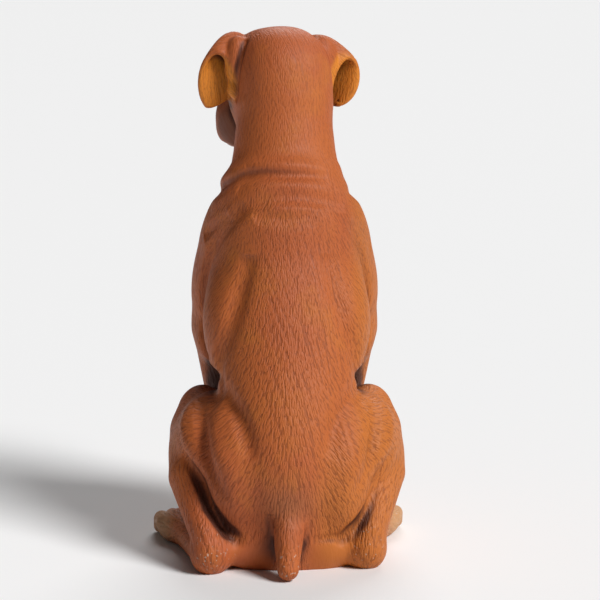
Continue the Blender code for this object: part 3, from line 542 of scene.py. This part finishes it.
def windows(array, axes):
    """The array seen from each corner of a window two wide along the axes, and that corner's slices"""
    for place in range(2**len(axes)):
        slices = [slice(None)] * 3
        for bit, axis in enumerate(axes):
            slices[axis] = slice(1, None) if place >> bit & 1 else slice(0, -1)
        yield array[tuple(slices)], tuple(slices)


def heal(field, cell):
    """Fills the places where two skins would meet along an edge or at a point only"""
    while True:
        inside = field < 0
        pinched = np.zeros_like(inside)
        for axes in ((0, 1), (0, 2), (1, 2)):
            (a, _), (b, _), (c, _), (d, _) = windows(inside, axes)
            bad = (a == d) & (b == c) & (a != b)
            for _, slices in windows(inside, axes):
                pinched[slices] |= bad
        corners = [seen for seen, _ in windows(inside, (0, 1, 2))]
        count = sum(seen.astype(int) for seen in corners)
        for a, b in zip(corners[:4], corners[:3:-1]):
            bad = (a & b & (count == 2)) | (~a & ~b & (count == 6))
            for _, slices in windows(inside, (0, 1, 2)):
                pinched[slices] |= bad
        pinched &= ~inside
        if not pinched.any():
            return
        field[pinched] = -0.1 * cell


def wrap(field, low, cell):
    """Points and outward quads of the zero surface of a sampled field"""
    inside = field < 0
    cells = tuple(n - 1 for n in field.shape)
    total, hits = np.zeros(cells + (3,)), np.zeros(cells)
    corners = [(x, y, z) for x in (0, 1) for y in (0, 1) for z in (0, 1)]

    def block(array, corner):
        return array[tuple(slice(c, c + n) for c, n in zip(corner, cells))]

    for a in corners:
        for axis in range(3):
            if a[axis]:
                continue
            b = tuple(1 if i == axis else a[i] for i in range(3))
            fa, fb = block(field, a), block(field, b)
            at = np.nonzero(block(inside, a) != block(inside, b))
            t = fa[at] / (fa[at] - fb[at])
            point = np.tile(np.array(a, float), (len(t), 1))
            point[:, axis] = t
            total[at] += point
            hits[at] += 1
    used = np.argwhere(hits > 0)
    number = np.full(cells, -1)
    number[tuple(used.T)] = np.arange(len(used))
    points = low + cell * (used + total[tuple(used.T)] / hits[tuple(used.T)][:, None])
    quads = []
    for axis in range(3):
        i, j = (axis + 1) % 3, (axis + 2) % 3
        (a, _), (b, _) = windows(inside, (axis,))
        at = np.argwhere(a != b)
        at = at[(at[:, i] > 0) & (at[:, j] > 0) & (at[:, i] < cells[i]) & (at[:, j] < cells[j])]
        leaving = a[tuple(at.T)]
        ring = []
        for back_i, back_j in ((1, 1), (0, 1), (0, 0), (1, 0)):
            q = at.copy()
            q[:, i] -= back_i
            q[:, j] -= back_j
            ring.append(number[tuple(q.T)])
        ring = np.stack(ring, 1)
        quads.append(np.where(leaving[:, None], ring, ring[:, ::-1]))
    return points, np.vstack(quads)


def steps_onto_skin(points, steps=2):
    """Moves points onto the exact surface and gives its outward directions"""
    nudge = 0.0008
    for _ in range(steps):
        field = clay_field(points, SKIN_BAND)
        slope = np.stack([clay_field(points + nudge * axis, SKIN_BAND) - field for axis in np.eye(3)], 1)
        slope /= nudge
        size = np.maximum((slope**2).sum(1), 0.25)
        points = points - slope * np.clip(field / size, -0.002, 0.002)[:, None]
    return points, slope / np.linalg.norm(slope, axis=1)[:, None]


def skin_arrays(mesh):
    points = np.empty(len(mesh.vertices) * 3)
    mesh.vertices.foreach_get("co", points)
    return points.reshape(-1, 3)


def placed(name, data):
    thing = bpy.data.objects.new(name, data)
    bpy.context.scene.collection.objects.link(thing)
    return thing


def fine_skin():
    """The statue's skin as a closed mesh, in shares of its height"""
    points, quads = wrap(*sample_clay(SKIN_CELL), SKIN_CELL)
    mesh = bpy.data.meshes.new("boxer_skin")
    mesh.from_pydata(np.round(points, 6).tolist(), [], quads.tolist())
    skin = placed("boxer_skin", mesh)
    if 2 * len(quads) > SKIN_FACES:
        thin = skin.modifiers.new("fewer_faces", "DECIMATE")
        thin.ratio = SKIN_FACES / (2 * len(quads))
        graph = bpy.context.evaluated_depsgraph_get()
        lean = bpy.data.meshes.new_from_object(skin.evaluated_get(graph))
        skin.modifiers.clear()
        skin.data = lean
        bpy.data.meshes.remove(mesh)
    points, _ = steps_onto_skin(skin_arrays(skin.data))
    skin.data.vertices.foreach_set("co", points.ravel())
    bm = bmesh.new()
    bm.from_mesh(skin.data)
    bmesh.ops.bisect_plane(bm, geom=bm.verts[:] + bm.edges[:] + bm.faces[:], dist=1e-6,
                           plane_co=(0, 0, 0), plane_no=(0, 0, -1), clear_outer=True)
    bmesh.ops.holes_fill(bm, edges=[edge for edge in bm.edges if edge.is_boundary], sides=0)
    bmesh.ops.triangulate(bm, faces=[face for face in bm.faces if len(face.verts) > 3])
    bmesh.ops.recalc_face_normals(bm, faces=bm.faces[:])
    bm.to_mesh(skin.data)
    bm.free()
    skin.data.shade_smooth()
    return skin


# The coat. A guide is a place and the way the hair lies there; hair between guides is blended.

SPINE_WAYS = (
    (0, 0.02, 0.78, 0, 0.15, -1), (0, 0.06, 0.72, 0, 0.15, -1), (0, 0.09, 0.6, 0, 0.3, -1),
    (0, 0.15, 0.45, 0, 0.3, -1), (0, 0.23, 0.3, 0, 0.3, -1), (0, 0.27, 0.18, 0, 0.1, -1),
    (0, 0.29, 0.06, 0, 0.3, -1), (0, -0.23, 0.6, 0, -0.1, -1), (0, -0.23, 0.45, 0, 0.2, -1),
    (0, -0.16, 0.75, 0, -0.2, -1), (0, -0.1, 0.3, 0, 0.3, -1),
)
SIDE_WAYS = (               # the left side; the right side mirrors them
    (0.06, 0.02, 0.78, 0.05, 0.1, -1), (0.095, -0.06, 0.8, 0.1, -0.1, -1),
    (0.1, -0.11, 0.74, 0.1, -0.3, -1), (0.07, 0.06, 0.7, 0.25, 0.1, -1), (0.055, 0.09, 0.6, 0.15, 0.2, -1),
    (0.1, 0.06, 0.61, 0.8, 0.0, -0.8), (0.125, 0.03, 0.56, 0.7, -0.2, -0.8),
    (0.06, 0.14, 0.48, 0.12, 0.2, -1), (0.12, 0.08, 0.47, 0.6, -0.1, -0.8),
    (0.145, 0.04, 0.42, 0.4, -0.3, -0.9), (0.05, 0.2, 0.37, 0.25, 0.3, -1),
    (0.1, 0.16, 0.38, 0.5, 0.2, -0.9), (0.05, 0.24, 0.27, 0.4, 0.2, -1),
    (0.095, 0.19, 0.31, 0.85, 0.2, -0.75), (0.13, 0.165, 0.3, 0.95, 0.0, -0.45),
    (0.11, 0.21, 0.24, 0.8, 0.1, -0.7), (0.06, 0.265, 0.18, 0.55, 0.1, -0.9),
    (0.105, 0.225, 0.16, 0.6, 0.1, -0.8), (0.05, 0.26, 0.1, 0.3, 0.1, -1),
    (0.095, 0.225, 0.09, 0.35, 0.1, -1), (0.17, 0.12, 0.3, 0.6, -0.75, -0.2),
    (0.2, 0.06, 0.29, 0.15, -1, -0.35), (0.17, 0.15, 0.24, 0.5, -0.6, -0.6),
    (0.21, 0.05, 0.22, 0.0, -0.8, -0.7), (0.19, -0.06, 0.26, 0.1, -0.5, -0.9),
    (0.18, -0.07, 0.19, -0.1, -0.1, -1), (0.205, 0.08, 0.16, -0.1, 0.7, -0.8),
    (0.175, 0.16, 0.13, -0.3, 0.6, -0.8), (0.15, 0.23, 0.06, -0.1, 0.4, -1),
    (0.17, 0.12, 0.05, 0.1, -0.8, -0.5), (0.18, 0.02, 0.05, 0.1, -1, -0.2),
    (0.19, -0.03, 0.04, 0.1, -1, -0.4), (0.15, -0.02, 0.64, 0.3, -0.3, -0.9),
    (0.17, -0.08, 0.56, 0.1, -0.3, -1), (0.185, -0.08, 0.47, 0.0, 0.1, -1),
    (0.17, -0.08, 0.39, -0.1, 0.1, -1), (0.14, -0.14, 0.28, -0.1, -0.2, -1),
    (0.11, -0.17, 0.14, 0, -0.15, -1), (0.106, -0.22, 0.05, 0, -1, -0.4), (0.08, -0.22, 0.54, 0.3, 0.0, -1),
    (0.11, -0.18, 0.44, 0.1, 0.1, -1), (0.07, -0.13, 0.3, 0.1, 0.2, -1),
)
HEAD_WAYS = (               # the left half of the head, from the base of the skull
    (0.0, -0.06, 0.11, 0, 1, 0.2), (0.0, 0.0, 0.11, 0, 1, -0.2), (0.04, -0.03, 0.1, 0.3, 1, 0),
    (0.0, -0.11, 0.07, 0, 0.7, 0.8), (0.03, -0.11, 0.06, 0.4, 0.8, 0.6), (0.0, 0.06, 0.05, 0, 0.5, -1),
    (0.05, 0.05, 0.04, 0.2, 0.4, -1), (0.0, -0.14, 0.025, 0, 1, 0.4), (0.045, -0.14, -0.04, 0.3, 0.8, -0.6),
    (0.06, -0.11, -0.08, 0.1, 0.7, -0.8), (0.085, -0.05, -0.01, 0.1, 1, -0.4),
    (0.08, -0.04, -0.06, 0.1, 0.7, -0.9), (0.04, -0.17, -0.08, 0.2, 0.6, -0.9),
    (0.03, -0.1, -0.12, 0, 1, -0.2),
)
EAR_WAYS = (                # left ear then right ear, from the base of the skull in the statue's directions
    (0.09, 0.02, 0.08, 0.1, 0.2, -1), (0.1, 0.03, 0.03, 0, 0.1, -1), (0.125, -0.01, 0.08, 1, -0.3, -0.3),
    (0.16, -0.01, 0.04, 0.4, -0.3, -1), (0.148, -0.02, -0.01, -0.1, 0, -1),
    (0.13, -0.03, -0.03, 0.1, 0, -1), (-0.08, -0.02, 0.08, -0.3, 0.2, -1),
    (-0.1, -0.03, 0.06, -0.8, 0, -0.8), (-0.13, -0.06, 0.06, -0.9, -0.2, -0.5),
    (-0.15, -0.08, 0.02, -0.2, -0.2, -1), (-0.12, -0.085, -0.02, 0.4, -0.1, -1),
    (-0.1, -0.08, -0.03, 0.1, 0, -1),
)


def blend_in(value, low, high):
    """0 below low, 1 above high, smooth between"""
    t = np.clip((value - low) / (high - low), 0, 1)
    return t * t * (3 - 2 * t)


def guides():
    """Every guide's place, way and reach, in the statue's directions"""
    for row in np.array(SPINE_WAYS, float):
        yield row[:3], row[3:], 0.055
    for side in SIDES:
        mirror = (side, 1, 1)
        for row in np.array(SIDE_WAYS, float):
            yield row[:3] * mirror, row[3:] * mirror, 0.045
        for row in np.array(HEAD_WAYS, float):
            yield HEAD_BASE + HEAD_AXES @ (row[:3] * mirror), HEAD_AXES @ (row[3:] * mirror), 0.03
    for row in np.array(EAR_WAYS, float):
        yield HEAD_BASE + row[:3], row[3:], 0.022


def hair_ways(p, outward):
    """The way the hair lies, along the skin"""
    total = np.zeros_like(p)
    for place, way, reach in guides():
        gap = ((p - place)**2).sum(1) / reach**2
        total += (np.exp(-gap) + 1e-4 / (1 + gap)**2)[:, None] * way / np.linalg.norm(way)
    total -= (total * outward).sum(1)[:, None] * outward
    return total / np.maximum(np.linalg.norm(total, axis=1), 1e-9)[:, None]


def carving(p):
    """How strongly the hair is carved: faint on the face, toes and the seat's rim"""
    q = (p - HEAD_BASE) @ HEAD_AXES
    face = blend_in(-q[:, 1], 0.06, 0.11) * (p[:, 2] > 0.74)
    toes = blend_in(0.06 - p[:, 2], 0.0, 0.03) * blend_in(0.04 - p[:, 1], 0.0, 0.04)
    rim = blend_in(0.06 - p[:, 2], 0.0, 0.012) * blend_in(0.125 - np.abs(p[:, 0]), 0.0, 0.02)
    rim *= blend_in(p[:, 1], 0.1, 0.16) * (1 - blend_in(0.04 - np.abs(p[:, 0]), 0.0, 0.01))
    neck = blend_in(p[:, 2], 0.66, 0.74)
    return (1 - 0.75 * face) * (1 - 0.6 * toes) * (1 - 0.9 * rim) * (1 - 0.35 * neck)


def hollow(p, outward, reach):
    """How far the surface closes round a point at that distance, 0 open to 1 closed"""
    return np.clip(1 - clay_field(p + outward * reach, WIDE_BAND) / reach, 0, 1)


def creases(p):
    """Where dark wash and painted shade go: along the drawn creases, more in the deep ones"""
    out = np.zeros(len(p))
    for line, width, depth in FOLDS:
        at = near(p, line.min(0), line.max(0), 2.5 * width)
        if depth > 0 and len(at):
            gap, share = line_distance(p[at], line)
            dark = np.exp(-(gap / (0.8 * width))**2) * np.sin(np.pi * share)**0.6 * min(depth / 0.014, 1.4)
            out[at] = np.maximum(out[at], dark)
    return out


def face_marks(p):
    """Masks from the head's own frame: dark muzzle, nose, eyes, pupils"""
    q = (p - HEAD_BASE) @ HEAD_AXES

    def blob(centre, radii, inner, outer):
        return 1 - blend_in(np.linalg.norm((q - centre) / radii, axis=1), inner, outer)

    muzzle = blob((0, -0.152, -0.052), (0.078, 0.085, 0.072), 0.7, 1.05)
    muzzle *= 1 - blend_in(q[:, 2], -0.01, 0.012)
    nose = blob((0, -0.186, 0.0), (0.0325, 0.021, 0.0235), 0.94, 1.05)
    eye, pupil = np.zeros(len(p)), np.zeros(len(p))
    for side in SIDES:
        jowl = blob((side * 0.046, -0.108, -0.075), (0.05, 0.07, 0.058), 0.65, 1.1)
        muzzle = np.maximum(muzzle, 0.8 * jowl)
        centre = np.array([side * EYE[0], EYE[1], EYE[2]])
        away = q - centre
        far = np.linalg.norm(away, axis=1)
        eye = np.maximum(eye, blend_in(EYE_RADIUS + 0.0007 - far, 0, 0.0005))
        a = math.radians(0.5 * EYE_LOOKS_OUT)
        look = np.array([side * math.sin(a), -math.cos(a), 0.0])
        ahead = away @ look / np.maximum(far, 1e-9)
        pupil = np.maximum(pupil, blend_in(ahead, 0.865, 0.885) * (far < 0.03))
    return muzzle, nose, eye, pupil * eye


def toe_marks(p):
    """Pale toe ends and dark claws"""
    x, y, z = np.abs(p[:, 0]), p[:, 1], p[:, 2]
    outer = np.where(p[:, 0] > 0, 0.212, 0.186)
    pale = blend_in(x - outer, 0, 0.03) * blend_in(y, -0.15, -0.13) * blend_in(0.085 - z, 0, 0.02)
    claw = np.zeros(len(p))
    for side, (back, splay) in zip(SIDES, (LEFT_FOOT, RIGHT_FOOT)):
        toe_x = HIND_TOES_OUT + splay
        tips = [(side * (FORE_TOES_OUT + offset), -0.2715 - ahead, 0.015) for offset, ahead in FORE_TOES]
        tips += [(side * (toe_x + 0.0135 + offset), -0.08 - ahead + back, 0.0145)
                 for offset, ahead in HIND_TOES]
        for tip in tips:
            claw = np.maximum(claw, blend_in(0.0085 - np.linalg.norm(p - tip, axis=1), 0, 0.003))
    return pale, claw


WASH_AND_SHADE_IN_HOLLOWS = ((0.018, 0.55), (0.055, 0.75))      # how far off the skin, how much dark wash and painted shade
WASH_AND_SHADE_IN_CREASES = 0.38


def dress(skin):
    """Puts the coat's flow and the paint's masks, painted light and shade among them, on the skin's points
    """
    p = skin_arrays(skin.data)
    p, outward = steps_onto_skin(p, steps=1)
    muzzle, nose, eye, pupil = face_marks(p)
    pale, claw = toe_marks(p)
    # dark wash and painted shade: darker where the surface closes round a point and along the creases
    wash_and_shade = sum(share * hollow(p, outward, reach) for reach, share in WASH_AND_SHADE_IN_HOLLOWS)
    wash_and_shade = np.clip(wash_and_shade + WASH_AND_SHADE_IN_CREASES * creases(p), 0, 1)
    # painted light: the inside of each ear, where it faces back, is painted a lighter ochre
    inner = np.zeros(len(p))
    at = (p[:, 2] > 0.82) & (np.abs(p[:, 0]) > 0.085)
    q = p - HEAD_BASE
    for side, middle in ((1, (0.128, 0.01, 0.0)), (-1, (-0.118, -0.05, 0.0))):
        gap = np.linalg.norm((q - middle) / (0.045, 0.05, 0.065), axis=1)
        inner = np.maximum(inner, (1 - blend_in(gap, 0.75, 1.0)) * blend_in(outward[:, 1], 0.0, 0.45))
    layer = skin.data.attributes.new("way", "FLOAT_VECTOR", "POINT")
    layer.data.foreach_set("vector", hair_ways(p, outward).astype(np.float32).ravel())
    masks = {"carved": carving(p), "wash_and_shade": wash_and_shade, "muzzle": muzzle, "nose": nose, "eye": eye, "pale": pale,
             "claw": claw, "ear_lining_painted_light": inner * at, "redness": redness(p), "right_side_painted_light": right_side_painted_light(p),
             "grey": greyness(p), "coarse": blend_in(0.62 - p[:, 2], 0, 0.22), "worn": wear(p),
             "pupil": pupil}
    for name, values in masks.items():
        layer = skin.data.attributes.new(name, "FLOAT", "POINT")
        layer.data.foreach_set("value", np.asarray(values, np.float32))


def redness(p):
    """The middle of the back is redder"""
    back = blend_in(0.1 - np.abs(p[:, 0]), 0, 0.08) * blend_in(p[:, 1], 0.0, 0.08)
    return back * blend_in(p[:, 2], 0.28, 0.45)


def right_side_painted_light(p):
    """Painted light: the right side and the right of the rump, which face the key light, are painted more
    golden
    """
    rump = blend_in(0.28 - p[:, 2], 0, 0.15) * blend_in(-p[:, 0], 0.02, 0.08)
    return np.maximum(0.8 * blend_in(-p[:, 0], 0.105, 0.15), 0.8 * rump)


def wear(p):
    """Where paint is rubbed off in specks: hocks, tail tip, toes"""
    spots = [(0.0, 0.31, 0.03, 0.03), (0.15, 0.265, 0.045, 0.035), (-0.15, 0.235, 0.045, 0.03),
             (0.2, 0.0, 0.045, 0.05), (-0.19, -0.01, 0.045, 0.05), (0.17, 0.15, 0.08, 0.04)]
    return np.clip(sum(np.exp(-((p - s[:3])**2).sum(1) / s[3]**2) for s in spots), 0, 1)


def greyness(p):
    """Dull paint round the root of the tail"""
    return np.exp(-(((p - (0.0, 0.265, 0.135)) / (0.045, 0.08, 0.04))**2).sum(1))


# Paint.

class Nodes:
    def __init__(self, material):
        material.use_nodes = True
        self.tree = material.node_tree
        self.shader = self.tree.nodes["Principled BSDF"]

    def add(self, kind, inputs=None, **settings):
        """inputs: values or sockets by key"""
        node = self.tree.nodes.new("ShaderNode" + kind)
        for name, value in settings.items():
            setattr(node, name, value)
        for key, value in (inputs or {}).items():
            if isinstance(value, bpy.types.NodeSocket):
                self.join(value, node.inputs[key])
            else:
                node.inputs[key].default_value = value
        return node

    def join(self, source, target):
        self.tree.links.new(source, target)

    def mask(self, name, output="Fac"):
        return self.add("Attribute", attribute_name=name).outputs[output]

    def vectors(self, operation, *ends, output="Vector"):
        return self.add("VectorMath", dict(enumerate(ends)), operation=operation).outputs[output]

    def math(self, operation, a, b, clamp=False):
        return self.add("Math", {0: a, 1: b}, operation=operation, use_clamp=clamp).outputs[0]

    def times(self, a, b):
        return self.math("MULTIPLY", a, b)

    def one_less(self, value):
        return self.math("SUBTRACT", 1.0, value)

    def noise(self, vector, scale, detail=2.0, roughness=0.5):
        inputs = {"Vector": vector, "Scale": scale, "Detail": detail, "Roughness": roughness}
        return self.add("TexNoise", inputs).outputs["Fac"]

    def spread(self, value, low, high):
        inputs = {"Value": value, "From Min": low, "From Max": high}
        return self.add("MapRange", inputs, interpolation_type="SMOOTHSTEP").outputs["Result"]

    def mix(self, share, a, b):
        a, b = (end if isinstance(end, bpy.types.NodeSocket) else (*end, 1.0) for end in (a, b))
        return self.add("Mix", {0: share, 6: a, 7: b}, data_type="RGBA").outputs[2]

    def mix_value(self, share, a, b):
        return self.add("Mix", {0: share, 2: a, 3: b}, data_type="FLOAT").outputs[0]


ORANGE_BROWN = (0.5, 0.128, 0.03)
RED_BROWN = (0.44, 0.1, 0.034)
# ochre for random golden patches, and as painted light on the right side
OCHRE_AND_SIDE_LIGHT = (0.56, 0.175, 0.026)
# lighter ochre as painted light inside the ears
EAR_LINING_PAINTED_LIGHT = (0.76, 0.26, 0.024)
DULL = (0.23, 0.13, 0.06)
# dark wash and painted shade for hollows and creases
WASH_AND_SHADE = (0.06, 0.018, 0.012)
# dark wash and painted shade between the carved hair strokes
GROOVE_WASH_AND_SHADE = (0.15, 0.036, 0.014)
MASK = (0.08, 0.027, 0.017)
NOSE = (0.018, 0.015, 0.015)
EYE_BROWN = (0.11, 0.036, 0.012)
CLAW = (0.035, 0.025, 0.02)
PALE_TOE = (0.56, 0.39, 0.22)
BARE = (0.6, 0.5, 0.42)
FLOOR_GREY = (0.88, 0.88, 0.88)

COARSE_HAIR = (0.0068, 0.00095, 0.0046)     # metres: how far apart the strokes are, half width, half length
FINE_HAIR = (0.0046, 0.00065, 0.0031)
HAIR_LAYERS = 6
HAIR_DEPTH = 0.0006


def strokes(n, place, cell, half_width, half_length):
    """Carved hair: layers of short rounded ridges that lie along the coat's ways"""
    way = n.vectors("NORMALIZE", n.mask("way", "Vector"))
    outward = n.add("NewGeometry").outputs["Normal"]
    across = n.vectors("CROSS_PRODUCT", way, outward)
    height = None
    for i in range(HAIR_LAYERS):
        away = tuple(0.37 * cell * (i + 1) * k for k in (1.0, -1.7, 2.3))
        here = n.vectors("ADD", place, away)
        seeds = n.add("TexVoronoi", {"Vector": here, "Scale": 1 / cell, "Randomness": 0.9})
        gap = n.vectors("SUBTRACT", here, seeds.outputs["Position"])
        beside = n.math("DIVIDE", n.vectors("DOT_PRODUCT", gap, across, output="Value"), half_width)
        along = n.math("DIVIDE", n.vectors("DOT_PRODUCT", gap, way, output="Value"), half_length)
        inside = n.one_less(n.math("ADD", n.times(beside, beside), n.times(along, along)))
        inside = n.math("MAXIMUM", inside, 0.0)
        height = inside if height is None else n.math("MAXIMUM", height, inside)
    return height


def painted_resin():
    material = bpy.data.materials.new("painted_resin")
    n = Nodes(material)
    place = n.add("TexCoord").outputs["Object"]

    ridge = strokes(n, place, *COARSE_HAIR)
    fine = strokes(n, place, *FINE_HAIR)
    hair = n.math("ADD", n.times(ridge, n.mix_value(n.mask("coarse"), 0.22, 0.8)),
                  n.times(fine, n.mix_value(n.mask("coarse"), 0.6, 0.3)))

    cloud = n.noise(place, 22.0, 3.0, 0.6)
    patch = n.noise(place, 9.0, 2.0, 0.5)
    speck = n.noise(place, 900.0, 2.0, 0.7)

    colour = n.mix(n.times(n.spread(patch, 0.4, 0.62), 0.6), ORANGE_BROWN, RED_BROWN)
    colour = n.mix(n.times(n.mask("redness"), 0.6), colour, RED_BROWN)
    # random golden patches, and painted light on the right side, which faces the key light
    golden_and_side_light = n.math("MAXIMUM", n.times(n.spread(cloud, 0.5, 0.72), 0.5), n.mask("right_side_painted_light"))
    colour = n.mix(n.times(golden_and_side_light, 0.8), colour, OCHRE_AND_SIDE_LIGHT)
    # painted light inside the ears
    colour = n.mix(n.times(n.mask("ear_lining_painted_light"), 0.8), colour, EAR_LINING_PAINTED_LIGHT)
    colour = n.mix(n.times(n.mask("grey"), 0.35), colour, DULL)
    # dark wash and painted shade in the low places between the carved hair strokes
    groove_wash_and_shade = n.math("SUBTRACT", 1.0, n.times(hair, 1.7), clamp=True)
    groove_wash_and_shade = n.times(groove_wash_and_shade, n.times(n.mask("carved"), 0.5))
    colour = n.mix(groove_wash_and_shade, colour, GROOVE_WASH_AND_SHADE)
    # dark wash and painted shade in hollows and creases, less inside the ears
    washed_and_shaded = n.times(n.spread(n.mask("wash_and_shade"), 0.28, 0.95),
                     n.math("SUBTRACT", 0.9, n.times(n.mask("ear_lining_painted_light"), 0.8)))
    colour = n.mix(washed_and_shaded, colour, WASH_AND_SHADE)
    colour = n.mix(n.times(n.mask("pale"), 0.55), colour, PALE_TOE)
    flecks = n.times(n.spread(n.noise(place, 420.0, 1.0), 0.66, 0.72), n.mask("worn"))
    colour = n.mix(n.times(flecks, 0.8), colour, BARE)
    colour = n.mix(n.times(n.mask("muzzle"), 0.92), colour, MASK)
    for name, paint in (("nose", NOSE), ("claw", CLAW), ("eye", EYE_BROWN), ("pupil", NOSE)):
        colour = n.mix(n.mask(name), colour, paint)
    n.join(colour, n.shader.inputs["Base Color"])
    n.shader.inputs["Specular IOR Level"].default_value = 0.3

    satin = n.math("ADD", 0.4, n.times(cloud, 0.18))
    satin = n.math("ADD", satin, n.times(n.one_less(ridge), 0.12))
    satin = n.mix_value(n.mask("nose"), satin, 0.3)
    satin = n.mix_value(n.mask("eye"), satin, 0.08)
    n.join(satin, n.shader.inputs["Roughness"])

    depth = n.times(hair, n.mask("carved"))
    depth = n.times(depth, n.one_less(n.math("MAXIMUM", n.mask("eye"), n.mask("nose"))))
    depth = n.math("ADD", depth, n.times(speck, 0.08))
    bump = n.add("Bump", {"Height": depth, "Distance": HAIR_DEPTH, "Strength": 0.8})
    n.join(bump.outputs["Normal"], n.shader.inputs["Normal"])
    return material


# The stage: pale floor, soft light and the photograph's view.

CAMERA_TURN = 178.5         # degrees round the statue from its front
CAMERA_RISE = 9.0
CAMERA_AWAY = 4.2 * HEIGHT
FOCAL_PIXELS = 2166.0       # focal length in pixels of the photograph
CENTRE_PIXEL = (285.9, 286.7)           # where the statue's middle height falls in the photograph
PHOTO = 600.0
SENSOR = 36.0
FLOOR_SIZE = 80.0
ROOM_LIGHT = 0.06
WALL_LIGHT = 0.9
LIGHTS = (                  # name, degrees from the front, rise, softness in degrees, strength
    ("key", 234.0, 43.0, 22.0, 3.15), ("front", 350.0, 42.0, 35.0, 1.2))


def towards(turn_angle, rise):
    a, e = math.radians(turn_angle), math.radians(rise)
    return Vector((math.sin(a) * math.cos(e), -math.cos(a) * math.cos(e), math.sin(e)))


def stage(shift):
    bpy.ops.mesh.primitive_grid_add(x_subdivisions=8, y_subdivisions=8, size=FLOOR_SIZE, location=(0, 0, 0))
    floor = bpy.context.object
    floor.name = "floor"
    paper = bpy.data.materials.new("pale_floor")
    paper.use_nodes = True
    sheet = paper.node_tree.nodes["Principled BSDF"]
    sheet.inputs["Base Color"].default_value = (*FLOOR_GREY, 1)
    sheet.inputs["Roughness"].default_value = 0.9
    floor.data.materials.append(paper)

    world = bpy.context.scene.world or bpy.data.worlds.new("world")
    bpy.context.scene.world = world
    world.use_nodes = True
    tree = world.node_tree
    sky = tree.nodes["Background"]
    sky.inputs["Color"].default_value = (1.0, 1.0, 1.0, 1)
    # the wall behind looks brighter than the light it gives
    wall = tree.nodes.new("ShaderNodeMapRange")
    wall.inputs["To Min"].default_value = ROOM_LIGHT
    wall.inputs["To Max"].default_value = WALL_LIGHT
    tree.links.new(tree.nodes.new("ShaderNodeLightPath").outputs["Is Camera Ray"], wall.inputs["Value"])
    tree.links.new(wall.outputs["Result"], sky.inputs["Strength"])

    for name, angle, rise, softness, strength in LIGHTS:
        light = placed(name, bpy.data.lights.new(name, "SUN"))
        light.data.angle = math.radians(softness)
        light.data.energy = strength
        light.rotation_euler = (-towards(angle, rise)).to_track_quat("-Z", "Y").to_euler()

    camera = placed("camera", bpy.data.cameras.new("camera"))
    back = towards(CAMERA_TURN, CAMERA_RISE)
    camera.location = Vector((-shift[0], -shift[1], HEIGHT / 2)) + back * CAMERA_AWAY
    camera.rotation_euler = (-back).to_track_quat("-Z", "Y").to_euler()
    camera.data.sensor_width = SENSOR
    camera.data.lens = FOCAL_PIXELS / PHOTO * SENSOR
    camera.data.shift_x = (PHOTO / 2 - CENTRE_PIXEL[0]) / PHOTO
    camera.data.shift_y = (CENTRE_PIXEL[1] - PHOTO / 2) / PHOTO
    camera.data.clip_start = 0.05
    bpy.context.scene.view_settings.view_transform = "Standard"
    bpy.context.scene.camera = camera


HEAD_BASE = np.array(HEAD_BASE)
HEAD_AXES = turn(pitch=HEAD_NOD, yaw=HEAD_TURN)
CLAY = list(masses())
HOLLOWS = [(moved(shape, HEAD_BASE, HEAD_AXES), melt) for shape, melt in head_hollows()]
EYES = [(moved(shape, HEAD_BASE, HEAD_AXES), melt) for side in SIDES for shape, melt in eye(side)]
DRAWN = [(smooth_line(points, 24), width, depth) for points, width, depth in body_folds()]
DRAWN += [(smooth_line(np.array(points) @ HEAD_AXES.T + HEAD_BASE, 16), width, depth)
          for points, width, depth in head_folds()]
SETTLED = settle([line for line, _, _ in DRAWN])
FOLDS = [(line, width, depth) for line, (_, width, depth) in zip(SETTLED, DRAWN)]

boxer = fine_skin()
dress(boxer)
places = skin_arrays(boxer.data) * HEIGHT
middle = (places.min(0)[:2] + places.max(0)[:2]) / 2
places[:, :2] -= middle
boxer.data.vertices.foreach_set("co", places.ravel())
boxer.data.update()
boxer.data.materials.append(painted_resin())
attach(boxer, "root")
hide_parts("boxer_figure")
stage(middle)
